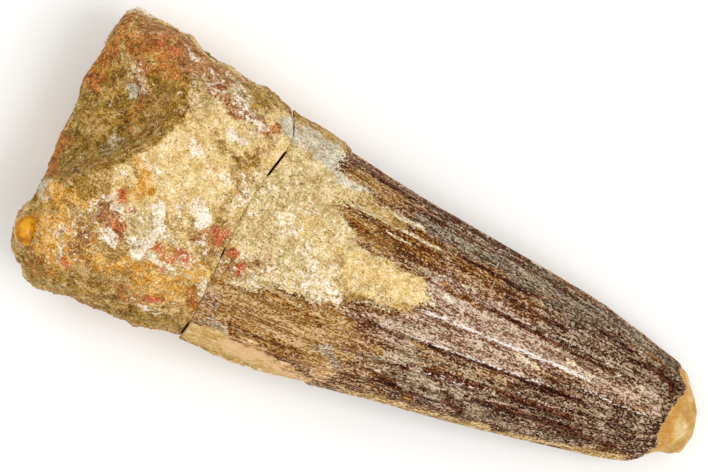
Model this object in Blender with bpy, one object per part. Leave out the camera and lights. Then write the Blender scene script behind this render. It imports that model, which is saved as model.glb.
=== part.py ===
"""A worn spinosaurus tooth that lies on its side, at its real size.

It has three pieces. The crown is fluted and its tip is worn down to the dentine. The root is
wrapped in the sandstone that it was buried in, and is glued to the crown across an old break.
A quartz pebble sits in a pocket of that sandstone, at the far end.

+X runs along the tooth towards its tip, +Z is up, and the origin is on the ground under the
middle of the tooth. Every size here is in millimetres. MILLIMETRE turns it to metres when a
mesh is written.
"""

import math

import bmesh
import bpy
import numpy as np
from mathutils import Matrix, Vector

MILLIMETRE = 0.001

# The crown's four long edges, as (along X, height or width) pairs from the break to the tip.
CROWN_LINES = {
    "upper": [(-20, 15.0), (-15, 14.4), (-10, 13.8), (0, 12.5), (10, 11.5), (20, 10.4), (30, 9.2),
              (36, 8.0), (39, 7.2), (40.2, 6.7), (41.4, 5.3), (42.6, 3.9), (43.5, 2.3), (44.1, -0.2)],
    "lower": [(-20, -16.2), (-12, -15.9), (-6, -15.5), (0, -14.3), (10, -12.8), (20, -10.8),
              (30, -8.9), (36, -7.5), (38.2, -6.7), (39.4, -5.8), (41, -4.5), (43, -3.6),
              (43.8, -2.5), (44.1, -0.8)],
    "top": [(-20, 24.5), (-10, 23.0), (0, 21.1), (10, 19.0), (20, 16.8), (30, 14.2), (36, 12.3),
            (39, 11.2), (41, 10.2), (42.6, 8.9), (43.6, 7.3), (44.1, 5.5)],
    "under": [(-20, 0.5), (-10, 0.6), (0, 0.55), (10, 0.45), (20, 0.0), (26, -0.5), (32, -0.7),
              (36, -0.5), (39.5, 0.4), (41, 1.0), (42.6, 2.2), (43.6, 3.8), (44.1, 5.2)],
}
CROWN_SQUARENESS = 2.15
TIP = 44.1

# The root's four long edges, from its broken end to the break.
ROOT_LINES = {
    "upper": [(-43.6, 16.8), (-42, 17.8), (-40, 18.3), (-37, 18.3), (-34, 17.9), (-30, 17.0),
              (-25, 16.3), (-22, 16.3), (-20.2, 15.9), (-18, 15.2)],
    "lower": [(-43.6, -15.0), (-42, -16.0), (-40.5, -17.5), (-38.5, -18.3), (-35, -18.0),
              (-30, -17.3), (-25, -17.0), (-20, -16.4), (-18, -16.2)],
    "top": [(-43.6, 20.2), (-42.4, 21.9), (-40.5, 23.9), (-37, 25.5), (-32, 26.1), (-26, 25.9),
            (-18, 24.9)],
    "under": [(-43.6, 2.6), (-42.4, 0.7), (-40.5, -0.5), (-32, -0.7), (-24, -0.5), (-18, 0.5)],
}
ROOT_SQUARENESS = 2.55
ROOT_END = -43.3
BROKEN_END_DROP = 0.35

# The old break, as (across Y, along X). Crown and root keep a gap to each other there.
BREAK_LINE = [(-17, -19.5), (-14.5, -19.0), (-10, -18.8), (-5, -18.8), (0, -18.65), (4, -18.3),
              (7, -17.7), (10, -17.1), (12.2, -17.1), (14, -18.0), (16, -19.3)]
BREAK_PLACE = -18.4
BREAK_GAP = 0.34
BREAK_REACH = 6.0
BREAK_CHAMFER = 0.12
BREAK_FACE_SHARE = 0.988
# Away from the break, the root's section goes from the crown's shape to its own.
SQUARED_OVER = 9.0

# The root's broken end, as (across Y, along X).
END_LINE = [(-19, -40.6), (-17, -41.9), (-15, -43.0), (-12, -43.6), (-8, -43.1), (-4, -43.1),
            (0, -43.5), (5, -43.2), (9, -43.6), (12.5, -42.9), (16, -42.8), (19, -42.2)]
END_REACH = 4.0

# Crests between the crown's flutes, in degrees round it: 0 is the upper edge, 90 the top.
FLUTE_CRESTS = [9, 21.5, 30, 38.5, 46.5, 55, 63, 71.5, 80, 89, 96.5, 103.5, 112, 123, 133, 142.5,
                154, 166, 178, 191, 204, 215, 229, 241, 254, 264, 277, 290, 302, 316, 331, 346]
FLUTE_DEPTH = 0.11
FLUTE_START, FLUTE_FULL = -16.0, 4.0

# Sandstone that still covers the crown near the break, drawn as (X, Y) seen from above.
SANDSTONE_ON_CROWN = [(-26, 22), (-10.2, 22), (-10.3, 10.7), (-6, 10.4), (-5.6, 9.5), (0, 8.4),
                      (0, 7.7), (-6, 7.9), (-9, 7.2), (-6.5, 5.4), (-4, 3.6), (2, 3.3), (5.3, 3.2),
                      (6.8, 1.0), (5.6, -1.4), (-0.5, -2.6), (-4, -5.0), (-10, -5.6), (-14, -7.2),
                      (-26, -8.2)]
SANDSTONE_THICKNESS = 0.4
# The strip along the crown's lower edge where its enamel has come away.
BARE_EDGE = [(-26, -14.2), (-13, -14.0), (-8, -14.4), (-2, -14.9), (2, -16), (2, -24), (-26, -24)]
ENAMEL_THICKNESS = 0.35
# Where the enamel ends near the tip: its place at the edges, and how far further it runs on top.
WEAR_PLACE, WEAR_REACH = 39.2, 1.5

# The hollow in the root's top: its sharp rim, and the rest of its outline.
HOLLOW_RIM = [(-48, -9.0), (-40.5, -5.0), (-38.5, -3.2), (-36, -0.6), (-33.5, 2.0), (-31.6, 5.3),
              (-30.5, 8.0), (-30.7, 10.6)]
HOLLOW_BACK = [(-30.7, 10.6), (-32.2, 13.0), (-35, 14.3), (-40, 15.2), (-48, 15.0)]
HOLLOW_DEPTH = 5.2
HOLLOW_FLANK, HOLLOW_SLOPE, HOLLOW_FLOOR_RISE = 3.8, 6.5, 0.12

# Stones, knobs and pits of the sandstone on top: (X, Y, radius, height).
KNOBS = [(-37.9, 11.4, 1.9, 0.8), (-36.2, 9.3, 1.2, 0.5), (-42.0, -6.8, 1.3, 0.7),
         (-40.3, -3.3, 1.3, 0.6), (-42.0, -12.8, 4.5, 1.5), (-41.8, 16.6, 1.6, 0.5),
         (-27.5, -5.5, 2.6, 0.5), (-22.6, -7.0, 1.8, 0.35), (-36.6, -13.5, 1.5, 0.5),
         (-35.0, -7.5, 2.4, 0.45), (-31.0, -14.8, 2.2, 0.5), (-26.0, -12.4, 2.2, 0.35),
         (-21.6, 15.2, 1.8, 0.3), (-31.2, -2.7, 0.9, -0.5), (-37.4, 7.6, 1.3, -0.5),
         (-38.4, -1.2, 1.2, -0.4), (-29.0, -9.0, 1.6, -0.35), (-33.2, -10.5, 1.4, -0.4)]
# Strips of root bone that stand proud along the upper edge, as (X, Y) outlines.
BONE_STRIP = [(-38.5, 17.3), (-35, 16.9), (-30, 15.8), (-25.5, 15.4), (-25.5, 24), (-38.5, 24)]
BONE_STRIP_HEIGHT = 0.3
# Rough lumps, as (size, height, seed): of the root, of the crown, and of the sandstone on it.
ROOT_LUMPS = [(7.0, 0.6, 11), (3.4, 0.45, 12), (1.9, 0.22, 13)]
CROWN_LUMPS = [(9.0, 0.16, 21)]
SANDSTONE_LUMPS = [(2.4, 0.2, 22)]
LATTICE = 32

# The quartz pebble.
PEBBLE_CENTRE = (-42.2, -12.5, 21.0)
PEBBLE_HALF_AXES = (1.55, 2.05, 1.5)
PEBBLE_TURN = math.radians(27)
POCKET_GAP = 0.3

# Mesh density.
COLUMNS_PER_FLUTE = 3
CROWN_RINGS = 17
ROOT_COLUMNS = 64
ROOT_TOP_DENSITY = 0.4
ROOT_RINGS = 20
PEBBLE_COLUMNS, PEBBLE_RINGS = 16, 10


def through(points, place):
    """Smooth curve through (place, value) points: a cubic whose slope at each is its neighbours' mean."""
    at, value = np.array(points, float).T
    slope = np.gradient(value, at)
    first = np.clip(np.searchsorted(at, place) - 1, 0, len(at) - 2)
    span = at[first + 1] - at[first]
    t = np.clip((place - at[first]) / span, 0, 1)
    rise = value[first + 1] - value[first]
    start, end = slope[first] * span, slope[first + 1] * span
    return value[first] + t * (start + t * (3 * rise - 2 * start - end + t * (start + end - 2 * rise)))


def smooth_step(t):
    """0 below 0 and 1 above 1, with a smooth S between."""
    t = np.clip(t, 0, 1)
    return t * t * (3 - 2 * t)


def distance_to(x, y, line):
    """Distance from each (x, y) to a line of points."""
    line = np.array(line, float)
    nearest = np.full(np.shape(x), np.inf)
    for (x0, y0), (x1, y1) in zip(line[:-1], line[1:]):
        run, rise = x1 - x0, y1 - y0
        share = np.clip(((x - x0) * run + (y - y0) * rise) / (run * run + rise * rise), 0, 1)
        nearest = np.minimum(nearest, np.hypot(x - x0 - share * run, y - y0 - share * rise))
    return nearest


def inside_by(x, y, outline):
    """How far each (x, y) is inside a closed outline, and negative outside it."""
    closed = list(outline) + [outline[0]]
    crossings = np.zeros(np.shape(x), int)
    for (x0, y0), (x1, y1) in zip(closed[:-1], closed[1:]):
        if y0 != y1:
            level = (y0 > y) != (y1 > y)
            crossings += level & (x < x0 + (y - y0) / (y1 - y0) * (x1 - x0))
    return np.where(crossings % 2 == 1, 1, -1) * distance_to(x, y, closed)


def lumps(points, size, seed):
    """Smooth random field from -1 to 1: a cubic lattice of random values, blended between corners."""
    table = np.random.default_rng(seed).uniform(-1, 1, (LATTICE, LATTICE, LATTICE))
    cell = points / size
    base = np.floor(cell).astype(int)
    t = smooth_step(cell - base)
    total = np.zeros(points.shape[:-1])
    for corner in np.ndindex(2, 2, 2):
        weight = np.prod(np.where(corner, t, 1 - t), axis=-1)
        i, j, k = np.moveaxis((base + corner) % LATTICE, -1, 0)
        total += weight * table[i, j, k]
    return total


def rough(points, layers):
    """Layers of lumps, each with its own size, height and seed, added up."""
    return sum(height * lumps(points, size, seed) for size, height, seed in layers)


def on_section(lines, squareness, along, turn, share):
    """A point of the squared oval between the four long edges, and which way is out of it."""
    upper, lower, top, under = (through(lines[edge], along) for edge in ("upper", "lower", "top", "under"))
    c, s = np.cos(turn), np.sin(turn)
    wide, tall = (upper - lower) / 2, (top - under) / 2
    y = (upper + lower) / 2 + share * wide * np.sign(c) * np.abs(c) ** (2 / squareness)
    z = (top + under) / 2 + share * tall * np.sign(s) * np.abs(s) ** (2 / squareness)
    out_y = np.sign(c) * np.abs(c) ** (2 - 2 / squareness) * tall
    out_z = np.sign(s) * np.abs(s) ** (2 - 2 / squareness) * wide
    length = np.maximum(np.hypot(out_y, out_z), 1e-9)
    return y, z, out_y / length, out_z / length


def above_middle(z, top, middle):
    """How much of a relief drawn from above reaches a point: all of it on top, none halfway down."""
    return smooth_step((z - middle) / (0.7 * (top - middle)))


def flute_depth(along, turn):
    """How deep the flutes are: a shallow scoop between each crest and the next, deeper where wider."""
    crests = np.radians(FLUTE_CRESTS + [FLUTE_CRESTS[0] + 360])
    turned = np.where(turn < crests[0], turn + math.tau, turn)
    first = np.clip(np.searchsorted(crests, turned, side="right") - 1, 0, len(FLUTE_CRESTS) - 1)
    width = crests[first + 1] - crests[first]
    scoop = np.abs(np.sin(math.pi * (turned - crests[first]) / width)) ** 0.8
    grows = smooth_step((along - FLUTE_START) / (FLUTE_FULL - FLUTE_START))
    return FLUTE_DEPTH * (width / math.radians(8)) * scoop * (0.35 + 0.65 * grows)


def crown_points(along, turn, share):
    """The crown's surface: an oval section, with flutes, sandstone and the places bare of enamel."""
    y, z, out_y, out_z = on_section(CROWN_LINES, CROWN_SQUARENESS, along, turn, share)
    x = along + (through(BREAK_LINE, y) - BREAK_PLACE) * smooth_step(1 - (along - BREAK_PLACE) / BREAK_REACH)
    is_top = z > (through(CROWN_LINES["top"], along) + through(CROWN_LINES["under"], along)) / 2
    # Below the middle, the outlines carry on round the edge as if the surface were unrolled.
    nearer = np.where(np.cos(turn) > 0, 1, 0)
    edge = nearer * through(CROWN_LINES["upper"], along) + (1 - nearer) * through(CROWN_LINES["lower"], along)
    unrolled = np.where(is_top, y, 2 * edge - y)
    sandstone = smooth_step(0.5 + inside_by(x, unrolled, SANDSTONE_ON_CROWN) / 1.2)
    bare = smooth_step(0.5 + inside_by(x, unrolled, BARE_EDGE) / 0.9)
    worn = smooth_step(0.5 + (along - WEAR_PLACE - WEAR_REACH * np.abs(np.sin(turn))) / 0.8)
    out = -flute_depth(along, turn) * (1 - 0.8 * sandstone) * (1 - worn) * (1 - bare)
    out += SANDSTONE_THICKNESS * sandstone - ENAMEL_THICKNESS * np.maximum(bare, worn)
    points = np.stack([x, y, z], -1)
    out += rough(points, CROWN_LUMPS) + sandstone * rough(points, SANDSTONE_LUMPS)
    out *= share * smooth_step((TIP - along) / 1.2)
    points[..., 1] += out * out_y
    points[..., 2] += out * out_z
    return points


def hollow_depth(x, y):
    """Depth of the root's hollow: a steep flank under its rim, then a floor that rises away from it."""
    from_rim = distance_to(x, y, HOLLOW_RIM)
    from_back = distance_to(x, y, HOLLOW_BACK)
    inside = inside_by(x, y, HOLLOW_RIM + HOLLOW_BACK[1:]) > 0
    floor = HOLLOW_DEPTH - HOLLOW_FLOOR_RISE * np.maximum(from_rim - HOLLOW_FLANK, 0)
    depth = floor * smooth_step(from_rim / HOLLOW_FLANK) * smooth_step(from_back / HOLLOW_SLOPE)
    return np.where(inside, depth, 0)


def root_points(along, turn, share):
    """The root's surface: a squared oval section with lumps, knobs, a bone strip and the hollow."""
    own_shape = smooth_step((BREAK_PLACE - along) / SQUARED_OVER)
    squareness = CROWN_SQUARENESS + (ROOT_SQUARENESS - CROWN_SQUARENESS) * own_shape
    y, z, out_y, out_z = on_section(ROOT_LINES, squareness, along, turn, share)
    x = along + (through(BREAK_LINE, y) - BREAK_PLACE) * smooth_step(1 - (BREAK_PLACE - along) / BREAK_REACH)
    x += (through(END_LINE, y) - ROOT_END) * smooth_step(1 - (along - ROOT_END) / END_REACH)
    top = through(ROOT_LINES["top"], along)
    middle = (top + through(ROOT_LINES["under"], along)) / 2
    relief = above_middle(z, top, middle)
    out = BONE_STRIP_HEIGHT * smooth_step(0.5 + inside_by(x, y, BONE_STRIP)) * relief
    for knob_x, knob_y, radius, height in KNOBS:
        out += height * relief * np.exp(-((x - knob_x) ** 2 + (y - knob_y) ** 2) / (0.5 * radius) ** 2 / 2)
    points = np.stack([x, y, z], -1)
    out += rough(points, ROOT_LUMPS)
    # Near the break the lumps fade, so that the two broken faces still fit each other.
    out *= smooth_step((BREAK_PLACE - along) / 3.0)
    side = smooth_step((share - 0.72) / 0.28)
    points[..., 0] -= out * (1 - side)
    points[..., 1] += out * out_y * side
    # The hollow sinks the top in full, and what is lower the less, down to the middle.
    points[..., 2] += out * out_z * side - hollow_depth(x, y) * np.clip((z - middle) / (top - middle), 0, 1)
    return points


def spaced(start, end, count):
    """Ring places from start to end, both included."""
    return list(np.linspace(start, end, count))


def crown_rings():
    """(along, share) of each ring of the crown, from its tip to the middle of its broken face."""
    tip = [(TIP, 0.0)] + [(place, 1.0) for place in (43.95, 43.4, 42.5, 41.5, 40.6, 39.8)]
    face = BREAK_PLACE + BREAK_GAP / 2
    body = [(place, 1.0) for place in spaced(38.9, face + BREAK_CHAMFER, CROWN_RINGS)]
    return tip + body + [(face, share) for share in (BREAK_FACE_SHARE, 0.75, 0.5, 0.25, 0.0)]


def root_rings():
    """(along, share) of each ring of the root, from the middle of its broken face to its far end."""
    face = BREAK_PLACE - BREAK_GAP / 2
    near = [(face, share) for share in (0.0, 0.25, 0.5, 0.75, BREAK_FACE_SHARE)]
    body = [(place, 1.0) for place in spaced(face - BREAK_CHAMFER, -41.6, ROOT_RINGS)]
    corner = [(-42.5, 0.99), (-43.0, 0.96), (ROOT_END, 0.9)]
    end = [(ROOT_END + BROKEN_END_DROP * (1 - share), share) for share in (0.78, 0.6, 0.4, 0.2, 0.0)]
    return near + body + corner + end


def new_object(name, mesh, collection, parent):
    """An object for a mesh, linked, parented and shaded smooth up to its sharp edges."""
    made = bpy.data.objects.new(name, mesh)
    collection.objects.link(made)
    made.parent = parent
    mesh.shade_smooth()
    mesh.set_sharp_from_angle(angle=math.radians(40))
    return made


def sphere_into(name, rings, turns, surface):
    """A UV sphere whose rings and columns are moved to a surface of (along, turn, share)."""
    shape = bmesh.new()
    bmesh.ops.create_uvsphere(shape, u_segments=len(turns), v_segments=len(rings) - 1, radius=1)
    start = np.array([v.co for v in shape.verts])
    # The sphere's pole is the first ring, and its X and Y become the tooth's Y and Z.
    ring = np.rint(np.arccos(np.clip(start[:, 2], -1, 1)) / math.pi * (len(rings) - 1)).astype(int)
    column = np.rint(np.arctan2(start[:, 1], start[:, 0]) / math.tau * len(turns)).astype(int) % len(turns)
    along, share = np.array(rings).T
    moved = surface(along[ring], np.array(turns)[column], share[ring])
    moved[:, 2] = np.maximum(moved[:, 2], 0)  # worn flat where it rests
    for vertex, place in zip(shape.verts, moved * MILLIMETRE):
        vertex.co = place
    mesh = bpy.data.meshes.new(name)
    shape.to_mesh(mesh)
    shape.free()
    return mesh


def crown_turns():
    """Column angles of the crown: each flute has the same number, and the first lies on its crest."""
    crests = np.radians(FLUTE_CRESTS + [FLUTE_CRESTS[0] + 360])
    steps = np.arange(COLUMNS_PER_FLUTE) / COLUMNS_PER_FLUTE
    return list((crests[:-1, None] + np.diff(crests)[:, None] * steps).ravel())


def make_crown(collection, parent):
    mesh = sphere_into("tooth_crown", crown_rings(), crown_turns(), crown_points)
    made = new_object("tooth_crown", mesh, collection, parent)
    made.data.materials.append(make_material("fossil_enamel", (0.13, 0.065, 0.04), 0.35))
    return made


def make_root(collection, parent):
    even = np.arange(ROOT_COLUMNS) * math.tau / ROOT_COLUMNS
    turns = list(even + ROOT_TOP_DENSITY * np.cos(even))
    mesh = sphere_into("tooth_root", root_rings(), turns, root_points)
    made = new_object("tooth_root", mesh, collection, parent)
    made.data.materials.append(make_material("sandstone", (0.5, 0.36, 0.17), 0.85))
    return made


def pebble_mesh(name, extra):
    """A slightly flattened egg, bigger by extra all round."""
    shape = bmesh.new()
    bmesh.ops.create_uvsphere(shape, u_segments=PEBBLE_COLUMNS, v_segments=PEBBLE_RINGS, radius=MILLIMETRE)
    bmesh.ops.scale(shape, vec=[half + extra for half in PEBBLE_HALF_AXES], verts=shape.verts)
    mesh = bpy.data.meshes.new(name)
    shape.to_mesh(mesh)
    shape.free()
    return mesh


def place_at_pebble(made):
    made.location = Vector(PEBBLE_CENTRE) * MILLIMETRE
    made.rotation_euler = (0, 0, PEBBLE_TURN)


def make_pebble(collection, parent):
    made = new_object("quartz_pebble", pebble_mesh("quartz_pebble", 0), collection, parent)
    place_at_pebble(made)
    made.data.materials.append(make_material("amber_quartz", (0.6, 0.3, 0.03), 0.2))
    return made


def cut_pocket(root, cutters, parent):
    """Hollows the pebble's seat out of the root's sandstone."""
    cutter = new_object("pebble_pocket", pebble_mesh("pebble_pocket", POCKET_GAP), cutters, parent)
    place_at_pebble(cutter)
    cutter.hide_render = True
    cutter.display_type = "WIRE"
    cut = root.modifiers.new("pebble pocket", "BOOLEAN")
    cut.operation = "DIFFERENCE"
    cut.object = cutter


def make_material(name, colour, roughness):
    material = bpy.data.materials.new(name)
    material.use_nodes = True
    shader = material.node_tree.nodes["Principled BSDF"]
    shader.inputs["Base Color"].default_value = (*colour, 1)
    shader.inputs["Roughness"].default_value = roughness
    shader.inputs["Metallic"].default_value = 0.0
    return material


def new_collection(name):
    made = bpy.data.collections.new(name)
    bpy.context.scene.collection.children.link(made)
    return made


def main():
    for leftover in list(bpy.data.objects):
        bpy.data.objects.remove(leftover)
    parts = new_collection("spinosaurus tooth")
    cutters = new_collection("cutters")
    ground = bpy.data.objects.new("tooth_on_the_ground", None)
    parts.objects.link(ground)
    make_crown(parts, ground)
    root = make_root(parts, ground)
    make_pebble(parts, ground)
    cut_pocket(root, cutters, ground)


main()
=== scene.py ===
# %% [markdown]
# This lesson dresses a fossil tooth. The real thing is a worn spinosaurus tooth that lies on its
# side: a fluted brown crown, a root wrapped in yellow sandstone, and one amber quartz pebble.
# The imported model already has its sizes, so this file makes the fine surfaces and the finishes.

# %% Load the frame
import math

import bpy
import numpy as np
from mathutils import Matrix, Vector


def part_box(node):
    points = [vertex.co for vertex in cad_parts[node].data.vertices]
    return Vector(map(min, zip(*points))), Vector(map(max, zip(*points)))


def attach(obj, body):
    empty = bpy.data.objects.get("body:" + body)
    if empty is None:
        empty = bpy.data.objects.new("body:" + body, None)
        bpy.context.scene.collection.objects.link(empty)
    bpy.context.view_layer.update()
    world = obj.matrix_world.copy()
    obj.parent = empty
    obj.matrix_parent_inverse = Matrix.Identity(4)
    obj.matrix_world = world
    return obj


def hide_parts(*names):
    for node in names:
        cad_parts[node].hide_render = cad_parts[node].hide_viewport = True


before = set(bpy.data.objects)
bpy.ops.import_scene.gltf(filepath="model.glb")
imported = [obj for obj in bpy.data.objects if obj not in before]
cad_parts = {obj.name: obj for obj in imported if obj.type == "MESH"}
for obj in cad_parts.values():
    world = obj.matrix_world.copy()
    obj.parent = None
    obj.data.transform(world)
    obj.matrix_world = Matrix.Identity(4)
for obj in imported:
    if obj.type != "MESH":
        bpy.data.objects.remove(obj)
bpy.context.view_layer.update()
MILLIMETRE = 0.001

# %% [markdown]
# Every shape below is worked out in millimetres and turned to metres when its mesh is written.
# The places of the crown's tip and of the pebble come from the frame, so that they can't drift.

# %% Places read from the frame
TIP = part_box("tooth_crown")[1][0] / MILLIMETRE
pebble_low, pebble_high = (np.array(corner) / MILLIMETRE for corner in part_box("quartz_pebble"))
pebble_centre = (pebble_low + pebble_high) / 2
print("the tip is at", round(TIP, 2), "mm and the pebble's centre at", pebble_centre.round(2), "mm")

# %% [markdown]
# A natural form is easiest to hold as a few smooth curves. These are the crown's and the root's
# four long edges, as (along, value) pairs: the outline seen from above, and the one from the side.
# The glued break and the broken end are (across, along) pairs, and both sides of the break share
# one line.

# %% The long edges of crown and root
CROWN_LINES = {
    "upper": [(-20, 15.0), (-15, 14.4), (-10, 13.8), (0, 12.5), (10, 11.5), (20, 10.6), (26, 10.05),
              (30, 9.3), (36, 8.0), (39, 7.2), (40.2, 6.7), (41.4, 5.3), (42.6, 3.9), (43.5, 2.3),
              (44.1, -0.2)],
    "lower": [(-20, -16.7), (-12, -16.4), (-6, -15.9), (0, -14.5), (10, -12.8), (20, -10.9),
              (30, -8.9), (36, -7.5), (38.2, -6.7), (39.4, -5.8), (41, -4.5), (43, -3.6),
              (43.8, -2.5), (44.1, -0.8)],
    "top": [(-20, 24.5), (-10, 23.0), (0, 21.1), (10, 19.0), (20, 16.8), (30, 14.2), (36, 12.3),
            (39, 11.2), (41, 10.2), (42.6, 8.9), (43.6, 7.3), (44.1, 5.5)],
    "under": [(-20, 0.5), (-10, 0.6), (0, 0.55), (10, 0.45), (20, 0.0), (26, -0.5), (32, -0.7),
              (36, -0.5), (39.5, 0.4), (41, 1.0), (42.6, 2.2), (43.6, 3.8), (44.1, 5.2)],
}
ROOT_LINES = {
    "upper": [(-43.6, 17.5), (-42, 18.0), (-40, 18.0), (-37, 18.1), (-34, 17.8), (-30, 17.0),
              (-25, 16.3), (-22, 16.3), (-20.2, 15.9), (-18, 15.2)],
    "lower": [(-43.6, -15.0), (-42, -16.0), (-40.5, -17.5), (-38.5, -18.3), (-35, -18.0),
              (-30, -17.3), (-25, -17.0), (-20, -16.4), (-18, -16.2)],
    "top": [(-43.6, 20.2), (-42.4, 21.9), (-40.5, 23.9), (-37, 25.5), (-32, 26.1), (-26, 25.9),
            (-18, 24.9)],
    "under": [(-43.6, 2.6), (-42.4, 0.7), (-40.5, -0.5), (-32, -0.7), (-24, -0.5), (-18, 0.5)],
}
CROWN_SQUARENESS, ROOT_SQUARENESS, SQUARED_OVER = 2.15, 2.55, 9.0
BREAK_LINE = [(-17, -19.5), (-14.5, -19.0), (-10, -18.8), (-5, -18.8), (0, -18.65), (4, -18.3),
              (7, -17.7), (10, -17.1), (12.2, -17.1), (14, -18.0), (16, -19.3)]
BREAK_PLACE, BREAK_GAP, BREAK_REACH = -18.4, 0.34, 6.0
END_LINE = [(-19, -40.6), (-17, -41.9), (-15, -43.0), (-12, -43.6), (-8, -43.1), (-4, -43.1),
            (0, -43.5), (5, -43.2), (9, -43.6), (12.5, -42.9), (16, -42.8), (19, -42.2)]
ROOT_END, END_REACH, BROKEN_END_DROP = -43.3, 4.0, 0.35
print("the crown has", sum(map(len, CROWN_LINES.values())), "points on its four edges")

# %% [markdown]
# Six small tools draw everything: a smooth curve through points, a smooth step, the distance to a
# drawn line, how far inside an outline a point lies, a field of soft random lumps, and layers of
# such fields. Each takes whole arrays, so no loop runs over vertices.

# %% Curves, steps, distances and lumps
LATTICE = 32


def through(points, place):
    """Smooth curve through (place, value) points: a cubic whose slope at each is its neighbours' mean."""
    at, value = np.array(points, float).T
    slope = np.gradient(value, at)
    first = np.clip(np.searchsorted(at, place) - 1, 0, len(at) - 2)
    span = at[first + 1] - at[first]
    t = np.clip((place - at[first]) / span, 0, 1)
    rise = value[first + 1] - value[first]
    start, end = slope[first] * span, slope[first + 1] * span
    return value[first] + t * (start + t * (3 * rise - 2 * start - end + t * (start + end - 2 * rise)))


def smooth_step(t):
    """0 below 0 and 1 above 1, with a smooth S between: 3t squared minus 2t cubed."""
    t = np.clip(t, 0, 1)
    return t * t * (3 - 2 * t)


def distance_to(x, y, line):
    """Distance from each (x, y) to a line of points: the least over its straight stretches."""
    line = np.array(line if len(line) > 1 else [line[0], line[0]], float)
    nearest = np.full(np.shape(x), np.inf)
    for (x0, y0), (x1, y1) in zip(line[:-1], line[1:]):
        run, rise = x1 - x0, y1 - y0
        share = ((x - x0) * run + (y - y0) * rise) / max(run * run + rise * rise, 1e-9)
        share = np.clip(share, 0, 1)
        nearest = np.minimum(nearest, np.hypot(x - x0 - share * run, y - y0 - share * rise))
    return nearest


def inside_by(x, y, outline):
    """How far each (x, y) is inside a closed outline, and negative outside it."""
    closed = list(outline) + [outline[0]]
    crossings = np.zeros(np.shape(x), int)
    for (x0, y0), (x1, y1) in zip(closed[:-1], closed[1:]):
        if y0 != y1:
            level = (y0 > y) != (y1 > y)
            crossings += level & (x < x0 + (y - y0) / (y1 - y0) * (x1 - x0))
    return np.where(crossings % 2 == 1, 1, -1) * distance_to(x, y, closed)


def lumps(points, size, seed):
    """Smooth random field from -1 to 1: a cubic lattice of random values, blended between corners.
    A size of three numbers stretches the lumps along the three axes."""
    table = np.random.default_rng(seed).uniform(-1, 1, (LATTICE, LATTICE, LATTICE))
    cell = points / size
    base = np.floor(cell).astype(int)
    t = smooth_step(cell - base)
    total = np.zeros(points.shape[:-1])
    for corner in np.ndindex(2, 2, 2):
        weight = np.prod(np.where(corner, t, 1 - t), axis=-1)
        i, j, k = np.moveaxis((base + corner) % LATTICE, -1, 0)
        total += weight * table[i, j, k]
    return total


def rough(points, layers):
    """Layers of lumps, each with its own size, height and seed, added up."""
    return sum(height * lumps(points, size, seed) for size, height, seed in layers)


print("half way up the smooth step:", smooth_step(np.array(0.5)))

# %% [markdown]
# Stains and crusts have no rule, so each is painted as a few brush strokes: a width, a strength
# and a line of points (x, y, x, y and so on) seen from above. Warped coordinates give the strokes
# ragged edges.

# %% Brush strokes
# The lumps that push x and those that push y: size, how far they push, and seed.
WARP_X = [(1.9, 0.8, 31), (0.7, 0.35, 32)]
WARP_Y = [(1.9, 0.8, 33), (0.7, 0.35, 34)]


def painted(x, y, strokes):
    """The strongest stroke at each point: full to half a width from its line, none past one and a half.
    A stroke is a width, a strength, and then the x and y of each of its points."""
    total = np.zeros(np.shape(x))
    for width, strength, *places in strokes:
        away = distance_to(x, y, np.reshape(places, (-1, 2)))
        total = np.maximum(total, strength * smooth_step(1.5 - away / width))
    return total


def warped(points, x, y):
    """The same places, pushed about by lumps of two sizes, so that a stroke's edge comes out ragged."""
    return x + rough(points, WARP_X), y + rough(points, WARP_Y)


print("a stroke of strength 0.5 gives", painted(0.0, 0.0, [(1, 0.5, 0, 0)]), "on its line")


# %% [markdown]
# One oval section serves crown and root. It is a squared ellipse between the four long edges.

# %% The oval section and its mesh


def on_section(lines, squareness, along, turn, share):
    """A point of the squared oval between the four long edges, and which way is out of it:
    width times the cosine's power 2/s, height times the sine's power 2/s."""
    upper, lower, top, under = (through(lines[edge], along) for edge in ("upper", "lower", "top", "under"))
    c, s = np.cos(turn), np.sin(turn)
    wide, tall = (upper - lower) / 2, (top - under) / 2
    y = (upper + lower) / 2 + share * wide * np.sign(c) * np.abs(c) ** (2 / squareness)
    z = (top + under) / 2 + share * tall * np.sign(s) * np.abs(s) ** (2 / squareness)
    out_y = np.sign(c) * np.abs(c) ** (2 - 2 / squareness) * tall
    out_z = np.sign(s) * np.abs(s) ** (2 - 2 / squareness) * wide
    length = np.maximum(np.hypot(out_y, out_z), 1e-9)
    return y, z, out_y / length, out_z / length


def add_object(name, data):
    """New data in the scene, as an object at the origin."""
    made = bpy.data.objects.new(name, data)
    bpy.context.scene.collection.objects.link(made)
    return made


def write_field(mesh, name, values):
    """One number for each vertex, as an attribute that the finishes read."""
    mesh.attributes.new(name, "FLOAT", "POINT").data.foreach_set("value", values.astype(np.float32))


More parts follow.
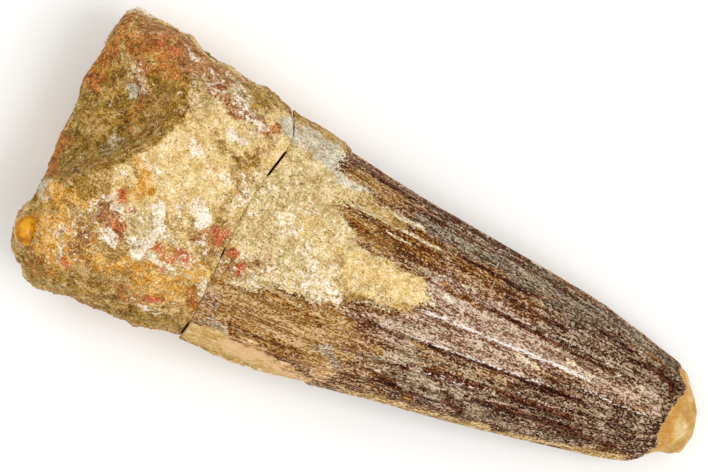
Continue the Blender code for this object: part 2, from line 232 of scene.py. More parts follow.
def closed_mesh(name, points, fields):
    """A closed mesh of a grid of points. Rows are rings, the first and last of which are poles, and
    columns go round. Each field becomes a vertex attribute."""
    rings, columns = points.shape[:2]
    grid = np.arange((rings - 2) * columns).reshape(rings - 2, columns) + 1
    turned = np.roll(grid, -1, axis=1)
    quads = np.stack([grid[:-1], turned[:-1], turned[1:], grid[1:]], -1).reshape(-1, 4)
    last = grid.size + 1
    first_fan = np.stack([np.zeros(columns, int), turned[0], grid[0]], -1)
    last_fan = np.stack([np.full(columns, last), grid[-1], turned[-1]], -1)

    def flat(field):
        """A grid's values in the order of the mesh's vertices: one for each pole, all for the rings."""
        return np.concatenate([field[:1, 0], field[1:-1].reshape(-1, *field.shape[2:]), field[-1:, 0]])

    corners = flat(points) * MILLIMETRE
    a, b, c = (corners[quads[:, n]] for n in (0, 1, 2))
    inside_out = np.einsum("ij,ij->i", a, np.cross(b, c)).sum() < 0
    faces = [*first_fan.tolist(), *quads.tolist(), *last_fan.tolist()]
    if inside_out:
        faces = [face[::-1] for face in faces]
    mesh = bpy.data.meshes.new(name)
    mesh.from_pydata(corners, [], faces)
    for field_name, field in fields.items():
        write_field(mesh, field_name, flat(field + np.zeros((rings, columns))))
    mesh.shade_smooth()
    print(name, "has", 2 * len(quads) + 2 * columns, "triangles")
    return add_object(name, mesh)


ridge = on_section(CROWN_LINES, CROWN_SQUARENESS, 0.0, math.pi / 2, 1)[1]
print("half way along, the crown's ridge is", round(float(ridge), 1), "mm up")


# %% [markdown]
# The stains of the sandstone are the same for the root and for the patch on the crown, because the
# matrix once covered both. Their places were judged on the real surface, in millimetres.

# %% Where the sandstone is stained
STONE_STROKES = {
    "gold": [
        (4, 1, -32, 3.5, -28, 1, -25, 1.5), (2.6, 0.9, -29, 6.5, -25, 5), (2, 0.7, -27, 9.8, -22.5, 9),
        (2.6, 0.7, -33.5, -1.8, -29, -1.8), (2, 0.5, -24, -3.5, -20.5, 1),
        (1.3, 0.8, -19.5, 13.4, -17.6, 11.5, -18.2, 8.5), (1.8, 1, -3, 1.2, 6, 1.3),
        (1.6, 0.5, -12, 3, -5, 1.5), (1.2, 0.5, -6, -2, 0, -1)],
    "olive": [
        (1.8, 0.6, -41, -16.2, -34, -17.2, -26, -16.6, -20, -15.6), (1.4, 0.7, -41.8, -8, -40.6, -5.6),
        (1.8, 0.75, -39.6, -7.6, -38.2, -4.6), (2, 0.6, -24, 15, -19.5, 14.8),
        (1.4, 0.6, -24.6, 6.4, -20.8, 6.4), (1.6, 0.6, -31.5, 12.5, -33, 10),
        (1, 0.5, -35, -15, -28, -15)],
    "rust": [
        (2.2, 0.68, -41.5, 15.8, -37, 14.6, -34.5, 15.4), (1.5, 0.7, -42.2, 12.5, -42.6, 8),
        (1.1, 0.35, -36.2, 6.6, -34.6, 4.6), (1, 0.5, -40.6, 14, -38.8, 13.4),
        (1, 1, -42.8, -0.3, -42.6, -4.6), (0.8, 0.6, -20.8, 11.3, -19.3, 11.8),
        (1.4, 0.5, -36.5, 12.5, -34, 13.6), (1.2, 0.5, -40, -14.5, -38, -16),
        (0.9, 0.7, -21, -10.4, -19.6, -12.2), (0.8, 0.6, -28.2, -13.8, -25.5, -14)],
    "red": [
        (0.7, 0.8, -32.8, -3.1, -32.6, -3.4), (0.45, 0.85, -31, -4.6),
        (0.9, 0.75, -23.8, -6.7, -22.4, -7), (0.7, 0.6, -27, -7.5, -24.4, -7.8),
        (0.6, 0.85, -24.3, -13, -23.6, -13.2), (0.5, 0.7, -35.9, -14),
        (0.6, 0.7, -20.6, -2.8, -19.8, -3.2), (0.7, 0.95, -17, -5.2, -16.4, -5.7),
        (0.45, 0.7, -17.8, -3.9), (0.5, 0.6, -21.2, 12), (0.5, 0.75, -35.6, 15.9, -34.8, 15.7),
        (0.8, 0.45, -32.8, -7.4, -31.8, -8), (0.8, 0.4, -38.2, 15.2, -36.8, 16.2),
        (0.6, 0.5, -27.8, 13.8), (0.5, 0.6, -25, -9.4, -24, -9.8)],
    "white": [
        (5, 0.25, -14, 3, -6, -2), (3, 0.35, -16, -6, -8, -4), (4.5, 0.25, -29, 3, -21, 3),
        (2.6, 0.35, -29, -6, -23, -7), (3, 0.25, -30, 12, -22, 12), (2.4, 0.3, -37, -12, -36, -8),
        (0.8, 0.9, -27.5, 6, -27, 5.6), (1.1, 1, -23.6, -0.6, -22.6, -1.6),
        (1, 1, -28.6, -3.2, -27.2, -4.6), (0.9, 0.9, -26.6, -5.8, -28.2, -8.6),
        (0.8, 0.8, -29.5, -8, -25.8, -9.2, -23.5, -8.8), (0.8, 0.8, -34.8, -4.4, -32.6, -5.2),
        (0.5, 0.8, -34.2, -0.6), (0.6, 0.7, -32.5, 2.3, -31.8, 2.1), (0.6, 0.8, -31.2, 1.2, -30.4, 0.8),
        (0.7, 0.8, -24.2, 9.4, -22.8, 9), (0.6, 0.7, -20.4, 5, -19.4, 3.4, -19.9, 1.5),
        (0.9, 0.7, -25, 13.4, -22.5, 12.4, -21, 11.8), (0.7, 0.8, -40.3, -2.2, -39.8, -3.5),
        (0.6, 0.9, -33.8, -8.6, -31.8, -9.4), (0.7, 0.8, -19.4, -9, -19.2, -10.2),
        (0.6, 0.6, -21.8, -4.3, -20.8, -5.5), (0.5, 0.7, -26, -1.6, -25.4, -2),
        (1, 0.42, -38.5, 12, -37.8, 10.9), (0.25, 0.8, -34.2, 16.9, -32, 16), (0.8, 0.6, -36.3, 9.7),
        (0.7, 0.5, -35.8, -7, -36.4, -6), (0.8, 0.5, -29.2, 14.6, -27.5, 13.4),
        (0.6, 0.7, -23, 3.6, -22.3, 3.2), (1.3, 0.7, -7.8, -2.4, -4.2, -4),
        (1.2, 0.6, -13.4, 2.8, -11.5, 1.6), (1.1, 0.6, -13.8, -6.2, -12, -7.2),
        (0.8, 0.6, -9.6, -0.4, -8.6, -1), (0.5, 0.8, -17.3, 4.9, -16.6, 5.2),
        (0.6, 0.5, -26, -14.6, -23.2, -15)],
    "grey": [
        (1.4, 1, -17.5, 12.9, -14, 12.6, -10.6, 11.8), (0.7, 0.9, -9.8, 10.4, -6.4, 9.9),
        (0.7, 0.6, -38.9, -9.8, -37.5, -12.3, -36.8, -14), (0.8, 0.45, -37.8, 1, -37, 3),
        (0.8, 0.7, -41.9, -6.6, -41.6, -7.4), (0.8, 0.6, -34, -9.4, -32.6, -6.4),
        (0.6, 0.8, -38, 9.2, -37.4, 8.8), (1, 0.5, -28, 15, -23, 12.8)],
    "pink": [
        (1.3, 1, -34, -6.4, -32, -8), (0.9, 0.6, -38, 11.6, -37.2, 10), (1.4, 0.7, -33, 15.6, -28, 14.2),
        (1.2, 0.8, -26, 12.5, -21.5, 12.2), (1.6, 0.6, -37.5, 12.5, -35.5, 9),
        (1, 0.6, -39.5, 17.2, -37, 17), (1.5, 0.6, -22, -3, -19, -4), (1.6, 0.5, -17, -6, -14, -4),
        (1.4, 0.5, -36, -10, -34, -13)],
    "cream": [
        (7, 1, -12, 6, -12, -2), (3, 1, -6, 2, 0, 1), (3, 0.6, -30, 12, -22, 12),
        (3, 0.7, -30, -6, -23, -8), (1.1, 0.9, -38.4, 12, -37.4, 10.6), (0.7, 0.8, -36.3, 9.4)],
    "orange": [
        (1.8, 0.62, -29, -11, -23, -11.6), (1.4, 0.7, -40.2, -6.4, -37.6, -6),
        (1, 0.8, -36.5, -10.6, -35, -10.2), (0.9, 0.75, -33, 1, -31.6, -0.6, -30.6, -2),
        (1.2, 0.6, -34, -12.5, -31.5, -12.2), (1, 0.6, -22.5, -9, -20, -7.6),
        (1.5, 0.8, -41, -10.8, -39.2, -13), (2.2, 0.55, -40, -8.6, -36.6, -13),
        (1.2, 0.5, -26.5, -7.6, -24, -7), (1, 0.5, -33.5, -4.2, -32, -2.6),
        (1.2, 0.4, -21, -3.2, -19, -3)],
}
BONE_STRIP = [(-38.5, 17.3), (-35, 16.9), (-30, 15.8), (-25.5, 15.4), (-25.5, 24), (-38.5, 24)]
print("the sandstone has", sum(map(len, STONE_STROKES.values())), "brush strokes on top")

# %% [markdown]
# No stroke reaches the sides and the underside. There each stain is a soft cloud of lumps of three
# sizes, cut off at a level of its own, so that red and grey are rare and gold, cream and olive common.

# %% The sandstone's stains on every side
STONE_RARITY = {"gold": 0.0, "olive": -0.1, "rust": 0.25, "red": 0.6, "white": 0.1, "grey": 0.4,
                "pink": 0.25, "cream": 0.0, "orange": 0.3}
CLOUD_LAYERS = [(5.0, 1.0), (2.1, 0.5), (0.9, 0.35)]
CLOUD_CUT, CLOUD_SOFTNESS, CLOUD_STRENGTH = 0.2, 1.1, 0.75
FIRST_STONE_SEED = 50


def stains(points, upper_side):
    """The sandstone's stain fields: the strokes where it is seen from above, and clouds elsewhere."""
    x, y = warped(points, points[..., 0], points[..., 1])
    fields = {}
    for seed, (name, strokes) in enumerate(STONE_STROKES.items(), FIRST_STONE_SEED):
        layers = [(size, height, seed + 10 * n) for n, (size, height) in enumerate(CLOUD_LAYERS)]
        over_cut = rough(points, layers) - STONE_RARITY[name] - CLOUD_CUT
        clouds = CLOUD_STRENGTH * smooth_step(0.5 + over_cut / CLOUD_SOFTNESS)
        fields[name] = upper_side * painted(x, y, strokes) + (1 - upper_side) * clouds
    return fields


def seen_from_above(z, middle, lift, blend):
    """1 on the upper side and 0 below it, blended about a line that lies a lift over the middle."""
    return smooth_step(0.5 + (z - middle - lift) / blend)


def painted_crevice_shading(grain, depth):
    """1 in the deepest places between the grains, where painted shade darkens the colour."""
    return smooth_step(-grain / depth - 0.1)


print("the rarest stain below is", max(STONE_RARITY, key=STONE_RARITY.get))


# %% [markdown]
# The glued break is open only in places. Elsewhere sandstone and glue fill it, so both pieces reach
# over the gap there and just meet. On top the open stretches are drawn, and below lumps choose them.

# %% The glued break
# The strokes lie along the break, so their first numbers are places across the tooth.
OPEN_STRETCHES = [(0.5, 1, 6.8, 0, 9.6, 0), (0.5, 1, -16.2, 0, -14.8, 0), (0.4, 0.5, -4.9, 0, -4.3, 0),
                  (0.5, 0.12, 0.3, 0, 4.8, 0)]
OPEN_BELOW, OPEN_BELOW_SIZE, OPEN_BELOW_SEED = 0.6, 4.0, 61
# The share of the gap that each piece moves by where it is filled, and how far back the move fades.
BREAK_FILLED, BREAK_LIP = 0.68, 0.6


def break_is_open(y, z):
    """1 where the glued break shows a dark gap, 0 where sandstone and glue fill it."""
    gaps = painted(y, np.zeros(np.shape(y)), OPEN_STRETCHES)
    patchy = lumps(np.stack([y, y, z], -1), OPEN_BELOW_SIZE, OPEN_BELOW_SEED)
    below = OPEN_BELOW * smooth_step(patchy * 2 - 0.5)
    from_above = smooth_step((z - 10) / 4)
    return gaps * from_above + below * (1 - from_above) * smooth_step((8 - z) / 3)


def along_break(along, y, z, side):
    """Sections near the break bend to its line, and reach over the gap where it is filled.
    The side is 1 for the crown and -1 for the root."""
    away = side * (along - BREAK_PLACE)
    bend = (through(BREAK_LINE, y) - BREAK_PLACE) * smooth_step(1 - away / BREAK_REACH)
    closed = (1 - break_is_open(y, z)) * BREAK_FILLED * BREAK_GAP
    return along + bend - side * closed * smooth_step(1 - away / BREAK_LIP)


print("the break has", len(OPEN_STRETCHES), "open stretches on top")

# %% [markdown]
# The crown is an oval cone with 32 flutes. Its sandstone patch stands 0.4 mm proud with a ragged
# edge that runs on in the flutes, where the scraper didn't reach. Its tip is worn to the dentine.

# %% The crown's flutes, patch and worn places
# Crests in degrees round the crown: 0 is the upper edge seen from above, and 90 is the top.
FLUTE_CRESTS = [9, 21.5, 30, 38.5, 46.5, 55, 63, 71.5, 80, 89, 96.5, 103.5, 112, 123, 133, 142.5,
                154, 166, 178, 191, 204, 215, 229, 241, 254, 264, 277, 290, 302, 316, 331, 346]
FLUTE_DEPTH, FLUTE_WIDTH, SCOOP_POWER = 0.2, math.radians(8), 0.8
FLUTE_START, FLUTE_FULL, DEPTH_AT_START = -16.0, 4.0, 0.35
SANDSTONE_ON_CROWN = [(-26, 22), (-10.2, 22), (-10.3, 10.7), (-6, 10.4), (-5.6, 9.5), (0, 8.4),
                      (0, 7.7), (-6, 7.9), (-9, 7.2), (-6.5, 5.4), (-4, 3.6), (2, 3.3), (5.3, 3.2),
                      (6.8, 1.0), (5.6, -1.4), (-0.5, -2.6), (-4, -5.0), (-10, -5.6), (-14, -7.2),
                      (-26, -8.2)]
BARE_EDGE = [(-26, -14.2), (-13, -14.0), (-8, -14.4), (-2, -14.9), (2, -16), (-2, -16.6), (-9, -17.6),
             (-26, -19)]
SANDSTONE_THICKNESS, ENAMEL_THICKNESS, CRUST_THICKNESS, CRACK_DEPTH = 0.4, 0.35, 0.16, 0.05
WEAR_PLACE, WEAR_REACH, WEAR_BORDER = 39.2, 1.5, 0.5
SAND_IN_FLUTES = 0.9  # how far the sandstone's edge runs on in a flute, and draws back on a crest
CROWN_UPPER_SIDE = (1.5, 4.0)  # lift and blend, for seen_from_above

# Lumps as size, height and seed. A size of three numbers stretches them along the tooth: the
# enamel's wrinkles are 5 mm long and about half a millimetre apart.
CROWN_LUMPS = [(9.0, 0.16, 21)]
SANDSTONE_LUMPS = [(2.4, 0.2, 22)]
SANDSTONE_GRAIN = [(1.2, 0.09, 41), (0.65, 0.09, 42), (0.4, 0.05, 39)]
WRINKLES = [((5.0, 0.55, 0.55), 0.045, 43), ((2.2, 0.8, 0.8), 0.03, 44)]
DENTINE_LUMPS = [(2.6, 0.08, 48), (0.9, 0.03, 49)]
PATCHES_BELOW = [(9.0, 4.0, 24)]
RAGGED_EDGE = [((1.4, 0.6, 0.6), 0.35, 25), ((0.7, 0.4, 0.4), 0.25, 26)]
BARE_WARP = [(2.0, 0.6, 45)]
WEAR_EDGE = [(2.2, 0.75, 46), (0.8, 0.3, 47)]


def flute_parts(turn):
    """How far each point is across its flute, from 0 on one crest to 1 on the next, and its width."""
    crests = np.radians(FLUTE_CRESTS + [FLUTE_CRESTS[0] + 360])
    turned = np.where(turn < crests[0], turn + math.tau, turn)
    first = np.clip(np.searchsorted(crests, turned, side="right") - 1, 0, len(FLUTE_CRESTS) - 1)
    width = crests[first + 1] - crests[first]
    return (turned - crests[first]) / width, width


def sandstone_reach(points, x, y, scoop, upper_side):
    """Millimetres inside the crown's sandstone, negative outside it: the patch that is seen from above,
    and below it scattered patches that thin out towards the tip."""
    place = points[..., 0]
    in_flutes = SAND_IN_FLUTES * (scoop - 0.75) * smooth_step((place + 12) / 8)
    patch = inside_by(x, y, SANDSTONE_ON_CROWN) + in_flutes
    below = rough(points, PATCHES_BELOW) - 1.2 - (place + 6) * 0.25 - 12 * upper_side
    return np.maximum(patch, below) + rough(points, RAGGED_EDGE)


print("the crown has", len(FLUTE_CRESTS), "flutes")

# %% [markdown]
# The enamel's tones are painted too. They run along the tooth, because the stain soaked in along
# the flutes: golden by the break, pinkish brown in the middle and nearly black near the tip. Dark
# veins and thin lines of lime follow the flutes, and crusts and hairline cracks cross them.

# %% Where the enamel changes tone
ENAMEL_STROKES = {
    "golden": [
        (4, 1, -18, -10, -8, -9.5, -3, -9), (1.4, 0.9, -10, 6, -1, 5.4), (1, 0.7, -8, 11.4, -2, 11),
        (1.6, 0.5, -1, -8.6, 4, -8)],
    "pinkish": [
        (1.4, 0.35, -18.4, -11.6, -15.5, -12.1), (1.2, 0.7, 22, 1.3, 38, 0.9),
        (3, 1, 8, 2.2, 14, 1.5, 20, 0.6), (1.8, 1, 5, -2.6, 12, -2.4, 20, -1.6),
        (1.6, 0.5, 20, 1, 32, 0.6), (1.2, 0.6, -1, -5, 6, -5.2)],
    "dark": [
        (3, 1, 24, 5, 40, 3), (3, 1, 24, -5, 40, -3), (2.2, 1, 8, -10, 30, -7.6),
        (1, 0.6, 2, 11.2, 24, 9.4), (2, 0.35, 6, -6.5, 24, -6), (2.4, 0.4, 22, 0, 40, 0)],
    "film": [
        (1, 1, 2, 9.5, 12, 9.3, 22, 8.7, 32, 8, 38, 6.9), (0.7, 0.7, 16, 7.5, 28, 7),
        (0.8, 0.3, -1, 3.9, 5, 4.1)],
    # Dust, except the thin stroke along the crest near y 0, which is painted sheen beside the crest's
    # painted highlight.
    "dust_and_sheen": [
        (2.6, 1, 6, 2.4, 14, 1.5, 22, 0.6), (1.6, 1, 2, -2.8, 12, -2.4, 20, -1.6),
        (1, 0.8, 2, 9.5, 14, 9.2, 34, 7.8), (4, 0.8, -18, -10, -4, -9), (1.6, 1, 22, 1.3, 38, 0.9),
        (1.6, 0.5, 4, -6.6, 20, -6.4), (0.9, 1, 6, -5.6, 20, -5), (0.5, 1, 8, -0.5, 30, 0.2),
        (1.4, 0.4, 22, 5, 36, 4), (1.6, 0.3, 24, -5, 36, -4), (0.9, 0.8, -10, 9.6, 0, 9)],
    "speckled": [
        (2, 0.8, 6, -6.4, 18, -6.6, 32, -5.4), (2.2, 0.9, 20, 4.6, 38, 3.8), (2.6, 0.4, 8, 3, 20, 2),
        (1.6, 0.9, 22, 1.2, 34, 1), (1.6, 0.5, 24, -1.2, 38, -1.4), (1.6, 0.9, 0, -9, 10, -9.6, 18, -8.8),
        (0.8, 0.6, -6, 8.8, 4, 8.4), (0.7, 0.8, 2, 11.6, 20, 10.2)],
    "crust": [
        (0.8, 0.9, 9.2, -8.2, 12.6, -8.7), (0.5, 0.9, 15, -8.3), (0.6, 1, 17.6, -9.3, 19.4, -9),
        (0.7, 0.8, 21, -9.3, 22.6, -9.1), (0.9, 0.9, -2.6, -10.3, -0.6, -10.8),
        (0.4, 0.8, 3.6, -11.5, 4.2, -11.2), (0.7, 0.7, -16.4, -13.1, -14.6, -13.5),
        (0.7, 0.8, 3.5, -7.8, 6, -7.2, 8, -6.6), (0.3, 0.7, 18, -6.2, 19.4, -6.4),
        (0.8, 0.5, 3, -4.4, 8, -3.6), (0.4, 0.7, 36, 1.9, 37.4, 1.7), (0.4, 0.7, 31, -3.2, 33.5, -3),
        (0.5, 0.7, 5, -9.6, 7.2, -8.4, 8.4, -10.2), (0.5, 0.7, 33.5, 6.1, 36.4, 5.6)],
    "blush": [
        (1.6, 1, -12.6, -14.5, -9.6, -13.9), (1, 0.9, -8, -14.8, -3, -15.2),
        (1, 1, -1.4, -13.2, -0.6, -12.8)],
    "amber": [
        (0.3, 0.9, 7.5, 3.3, 13, 3.1), (0.5, 0.8, 5, -4.4, 8.6, -4.5), (0.6, 0.9, 4, -7.7, 8, -8.3),
        (0.7, 0.9, 5, -10.7, 9.5, -10.9), (0.9, 0.8, -2, 7, 5, 6.6), (0.35, 0.9, -5, 8.3, 5, 8),
        (0.5, 0.8, -6, 5.8, 5, 5.7), (1.1, 0.7, -14, -12.2, -5, -12.8), (0.35, 0.9, 34.5, 6.5, 37, 6.2),
        (0.6, 0.6, 8, 7.2, 14, 6.8), (0.4, 0.8, -12, -6.9, -4, -7.2), (0.3, 0.8, -5.6, 9.6, -1.5, 9.4)],
}
VEINS = [
    (0.2, 1, 14.5, 3.2, 22, 2.8, 31.5, 2.6), (0.28, 1, 15.5, 5.5, 20, 5, 24, 4.8),
    (0.2, 0.8, 8, 7.8, 13, 7.5, 18, 6.8), (0.28, 1, 9.5, -4.3, 14, -3.7, 19, -3.2, 24, -2.8, 30, -2.6),
    (0.4, 1, 7, -8, 10, -7.3, 13, -6.8, 16, -6.4, 20, -5.8, 24, -5.4, 29, -5),
    (0.45, 0.8, 17.5, -8.2, 21, -7.5, 24, -7, 31, -6.2), (0.5, 0.9, 13.6, -8.9, 14.6, -9.8, 16.4, -10.3),
    (0.35, 1, 32.5, 4.8, 36, 5.1, 39, 4.6), (0.5, 0.7, 39, 4.4, 39.6, 3), (0.4, 0.9, 22, -3, 26, -3.1),
    (0.5, 0.7, 4.5, 11.6, 14, 10.9), (0.18, 0.9, 2, 10.6, 14, 9.9, 24, 9),
    (0.35, 0.8, 5, -10.9, 12, -10.4), (0.2, 0.8, -6, 12.2, 6, 11.2), (0.25, 0.7, -9, 12.9, -2, 12),
    (0.3, 0.6, 26, -7.6, 36, -5.8), (0.15, 0.8, 6, 0.2, 9, -0.2), (0.2, 0.7, 0, -4.6, 6, -4.9),
    (0.25, 0.6, 28, 6.6, 36, 5.8)]
LIME_LINES = [
    (0.28, 1, -5, 9, -2, 8.8, 2.5, 8.8), (0.2, 1, -7.5, 7.8, -2, 7.6, 5.3, 7.4),
    (0.14, 0.8, -1.5, 6.4, 2, 6.4), (0.4, 1, 26.1, 1.5, 26.5, 1.5), (0.3, 0.8, 29, 1, 29.4, 1),
    (0.32, 0.9, 19.5, -0.5, 21, -0.8, 22.8, -0.9), (0.25, 0.7, 35, 2.3, 35.8, 2.2),
    (0.22, 0.8, 32.1, 2.6, 32.4, 2.5), (0.5, 0.6, 6.6, 1.4, 7.6, 0.6), (0.25, 0.7, 10, 4.6, 12, 4.6),
    (0.4, 0.7, 8.6, 2.3, 9.4, 2), (0.3, 0.6, 0, -2.6, 3, -2.4), (0.25, 0.7, -3.2, -4.6, -1.4, -4.7)]
# Painted highlights along crests: degrees round the crown, from where to where along it, and strength.
PAINTED_CREST_HIGHLIGHTS = [
    (89, 5, 31, 1), (103.5, 3, 27, 0.7), (71.5, 14, 38, 0.35), (123, 8, 22, 0.5), (133, 2, 14, 0.4),
    (96.5, 26, 40, 0.5)]
HAIRLINES = [[(12.6, 9.6), (13.2, 7.0), (13.5, 5.0), (13.9, 2.6), (14.7, 0.4), (15.0, -3.2),
              (15.1, -7), (14.7, -10.4)],
             [(24.8, 5.4), (25.3, 3.0), (25.1, 1.2)], [(2.4, -6.4), (2.0, -8.8), (2.6, -10.6)]]
enamel_count = sum(map(len, ENAMEL_STROKES.values()))
print("the enamel has", enamel_count, "brush strokes and", len(VEINS), "veins")

# %% The enamel's fields
ENAMEL_RARITY = {"golden": 0.3, "pinkish": 0.1, "dark": 0.1, "film": 0.3, "dust_and_sheen": -0.1,
                 "speckled": -0.1, "crust": 0.5, "blush": 0.7, "amber": 0.45}
LONG_LUMPS, FIRST_ENAMEL_SEED = (12.0, 3.0, 3.0), 80
CREST_WIDTH, CREST_FADE = 0.16, 3.0
VALLEY_PLACE, VALLEY_WIDTH = 0.27, 0.13  # shares of a flute's width
VEIN_WARP = 0.2  # veins and lime lines keep to the flutes, so the warp hardly moves them
RIM_ABOVE, RIM_BELOW, RIM_START, RIM_END = 0.45, 0.15, 0.0, 38.8
RIM_RAGGED = [(1.6, 0.3, 71), (0.6, 0.2, 72)]
UNDER_RIM_RAGGED = [(3.0, 0.3, 75), (0.8, 0.12, 76)]
NOT_SEEN = 3.0  # added to the distance to a hairline below, so that none is drawn there


def painted_crest_highlights(x, turn):
    """1 along the crests that carry a painted highlight, fading away to each side and at the ends.
    The crown's radius, which turns an angle into millimetres, is taken as 11 mm less an eighth of x."""
    total = np.zeros(np.shape(x))
    for crest, start, end, strength in PAINTED_CREST_HIGHLIGHTS:
        radius = 11 - x / 8
        near = np.exp(-((turn - math.radians(crest)) * radius / CREST_WIDTH) ** 2)
        ends = smooth_step((x - start) / CREST_FADE) * smooth_step((end - x) / CREST_FADE)
        total = np.maximum(total, strength * near * ends)
    return total


def sandy_rim(points, unrolled):
    """The thin line of sand along the crown's lower edge, between two ragged lines."""
    x = points[..., 0]
    edge = through(CROWN_LINES["lower"], x)
    inner = edge + RIM_ABOVE + rough(points, RIM_RAGGED)
    outer = edge - RIM_BELOW + rough(points, UNDER_RIM_RAGGED)
    between = smooth_step(0.5 + (inner - unrolled) / 0.3) * smooth_step(0.5 + (unrolled - outer) / 0.2)
    return between * (smooth_step((x - RIM_START) / 3) * smooth_step((RIM_END - x) / 2))


def enamel_fields(points, warped_x, warped_y, unrolled, turn, across, upper_side):
    """The enamel's fields at each point, from the strokes on top and from long lumps below."""
    x, y = points[..., 0], points[..., 1]
    # Along the tooth the warp is kept but across it is halved, because stains follow the flutes.
    half_warped = 0.5 * (warped_y + y)
    fields = {}
    for seed, (name, strokes) in enumerate(ENAMEL_STROKES.items(), FIRST_ENAMEL_SEED):
        clouds = rough(points, [(LONG_LUMPS, 1.0, seed), (1.4, 0.35, seed + 10)])
        beneath = smooth_step((clouds - ENAMEL_RARITY[name]) / 0.4)
        whole = name in ("crust", "blush")
        painted_y = warped_y if whole else np.where(upper_side > 0.5, half_warped, warped_y)
        fields[name] = upper_side * painted(warped_x, painted_y, strokes) + (1 - upper_side) * beneath
    fields["rim"] = sandy_rim(points, unrolled)
    fields["valley"] = np.exp(-((across - VALLEY_PLACE) / VALLEY_WIDTH) ** 2) + np.zeros(x.shape)
    near_x, near_y = x + VEIN_WARP * (warped_x - x), y + VEIN_WARP * (warped_y - y)
    in_flutes = fields["valley"] * smooth_step(0.5 + 1.5 * lumps(points, (9.0, 2.0, 2.0), 73))
    drawn = upper_side * painted(near_x, near_y, VEINS)
    fields["vein"] = np.maximum(drawn, in_flutes * (0.7 - 0.3 * upper_side))
    fields["lime"] = upper_side * painted(near_x, near_y, LIME_LINES)
    fields["painted_crest_highlight"] = painted_crest_highlights(x, turn) * upper_side
    jagged_x = x + 0.12 * lumps(points, 0.7, 70)
    fields["crack"] = np.minimum.reduce([distance_to(jagged_x, y, line) for line in HAIRLINES])
    fields["crack"] += NOT_SEEN * (1 - upper_side)
    return fields


print("the rarest enamel tone below is", max(ENAMEL_RARITY, key=ENAMEL_RARITY.get))


# %% The crown's surface


def crown_surface(along, turn, share):
    """The oval section, pushed out by sandstone and crusts and in by flutes, wear and cracks."""
    y, z, out_y, out_z = on_section(CROWN_LINES, CROWN_SQUARENESS, along, turn, share)
    x = along_break(along, y, z, 1)
    points = np.stack([x, y, z], -1)
    middle = (through(CROWN_LINES["top"], along) + through(CROWN_LINES["under"], along)) / 2
    upper, lower = (through(CROWN_LINES[line], along) for line in ("upper", "lower"))
    nearer = np.where(np.cos(turn) > 0, 1, 0)
    edge = nearer * upper + (1 - nearer) * lower
    # Below the middle the strokes' y runs on past the edge, as if the skin were rolled out flat.
    unrolled = np.where(z > middle, y, 2 * edge - y)
    upper_side = seen_from_above(z, middle, *CROWN_UPPER_SIDE)
    warped_x, warped_y = warped(points, x, unrolled)

    across, width = flute_parts(turn)
    scoop = np.abs(np.sin(math.pi * across)) ** SCOOP_POWER
    reach = sandstone_reach(points, (x + warped_x) / 2, (unrolled + warped_y) / 2, scoop, upper_side)
    sandstone = smooth_step(0.5 + reach / 0.8)
    edge_of_wear = WEAR_PLACE + WEAR_REACH * np.abs(np.sin(turn)) + rough(points, WEAR_EDGE)
    worn = smooth_step(0.5 + (along - edge_of_wear) / 0.35)
    unenamelled = smooth_step(0.5 + inside_by(x + rough(points, BARE_WARP), warped_y, BARE_EDGE) / 0.4)
    bare = np.maximum(unenamelled, worn)
    enamel = (1 - sandstone) * (1 - bare)

    started = smooth_step((along - FLUTE_START) / (FLUTE_FULL - FLUTE_START))
    depth = FLUTE_DEPTH * (width / FLUTE_WIDTH) * scoop * (DEPTH_AT_START + (1 - DEPTH_AT_START) * started)
    out = -depth * (1 - 0.8 * sandstone) * (1 - bare)
    out += SANDSTONE_THICKNESS * sandstone - ENAMEL_THICKNESS * bare
    grain = rough(points, SANDSTONE_GRAIN)
    out += rough(points, CROWN_LUMPS) + sandstone * (rough(points, SANDSTONE_LUMPS) + grain)
    out += enamel * rough(points, WRINKLES) + bare * rough(points, DENTINE_LUMPS)
    fields = enamel_fields(points, warped_x, warped_y, unrolled, turn, across, upper_side)
    out += CRUST_THICKNESS * enamel * fields["crust"] * (1 + lumps(points, 0.8, 40))
    out -= CRACK_DEPTH * enamel * smooth_step(1 - fields["crack"] / 0.25)
    out *= share * smooth_step((TIP - along) / 1.2)
    points[..., 1] += out * out_y
    points[..., 2] += out * out_z
    points[..., 2] = np.maximum(points[..., 2], 0)  # worn flat where it rests
    fields.update(stains(points, upper_side))
    fields.update({"sandstone": np.clip(0.5 + reach / 1.6, 0, 1), "bare": bare, "worn": worn,
                   "painted_crevice_shade": painted_crevice_shading(grain, 0.16),
                   "border": np.exp(-((along - edge_of_wear - WEAR_BORDER) / WEAR_BORDER) ** 2)})
    return points, fields


# %% The crown's mesh
CROWN_ROWS, DOME_ROWS, DOME_START, COLUMNS_PER_FLUTE = 200, 36, 38.9, 12
FACE_SHARES = np.array([0.99, 0.96, 0.85, 0.6, 0.3, 0.0])  # rings on the break's face, from its edge in
CROWN_FACE = BREAK_PLACE + BREAK_GAP / 2
crests = np.radians(FLUTE_CRESTS + [FLUTE_CRESTS[0] + 360])
steps = np.arange(COLUMNS_PER_FLUTE) / COLUMNS_PER_FLUTE
crown_turns = (crests[:-1, None] + np.diff(crests)[:, None] * steps).ravel()
dome = TIP - (TIP - DOME_START) * np.linspace(0, 1, DOME_ROWS) ** 2
body = np.linspace(DOME_START, CROWN_FACE + 0.1, CROWN_ROWS)[1:]
crown_along = np.concatenate([dome, body, np.full(len(FACE_SHARES), CROWN_FACE)])
crown_shares = np.concatenate([[0.0], np.ones(len(dome) + len(body) - 1), FACE_SHARES])
crown_points, crown_fields = crown_surface(crown_along[:, None], crown_turns[None, :], crown_shares[:, None])
crown = closed_mesh("fluted_crown", crown_points, crown_fields)
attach(crown, "root")
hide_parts("tooth_crown")

# %% [markdown]
# The root is a squared block of sandstone and bone. A broken end, a sharp-rimmed hollow, stones
# that stand proud and pits give it its look from a step away. Fine lumps of grain size do the rest.

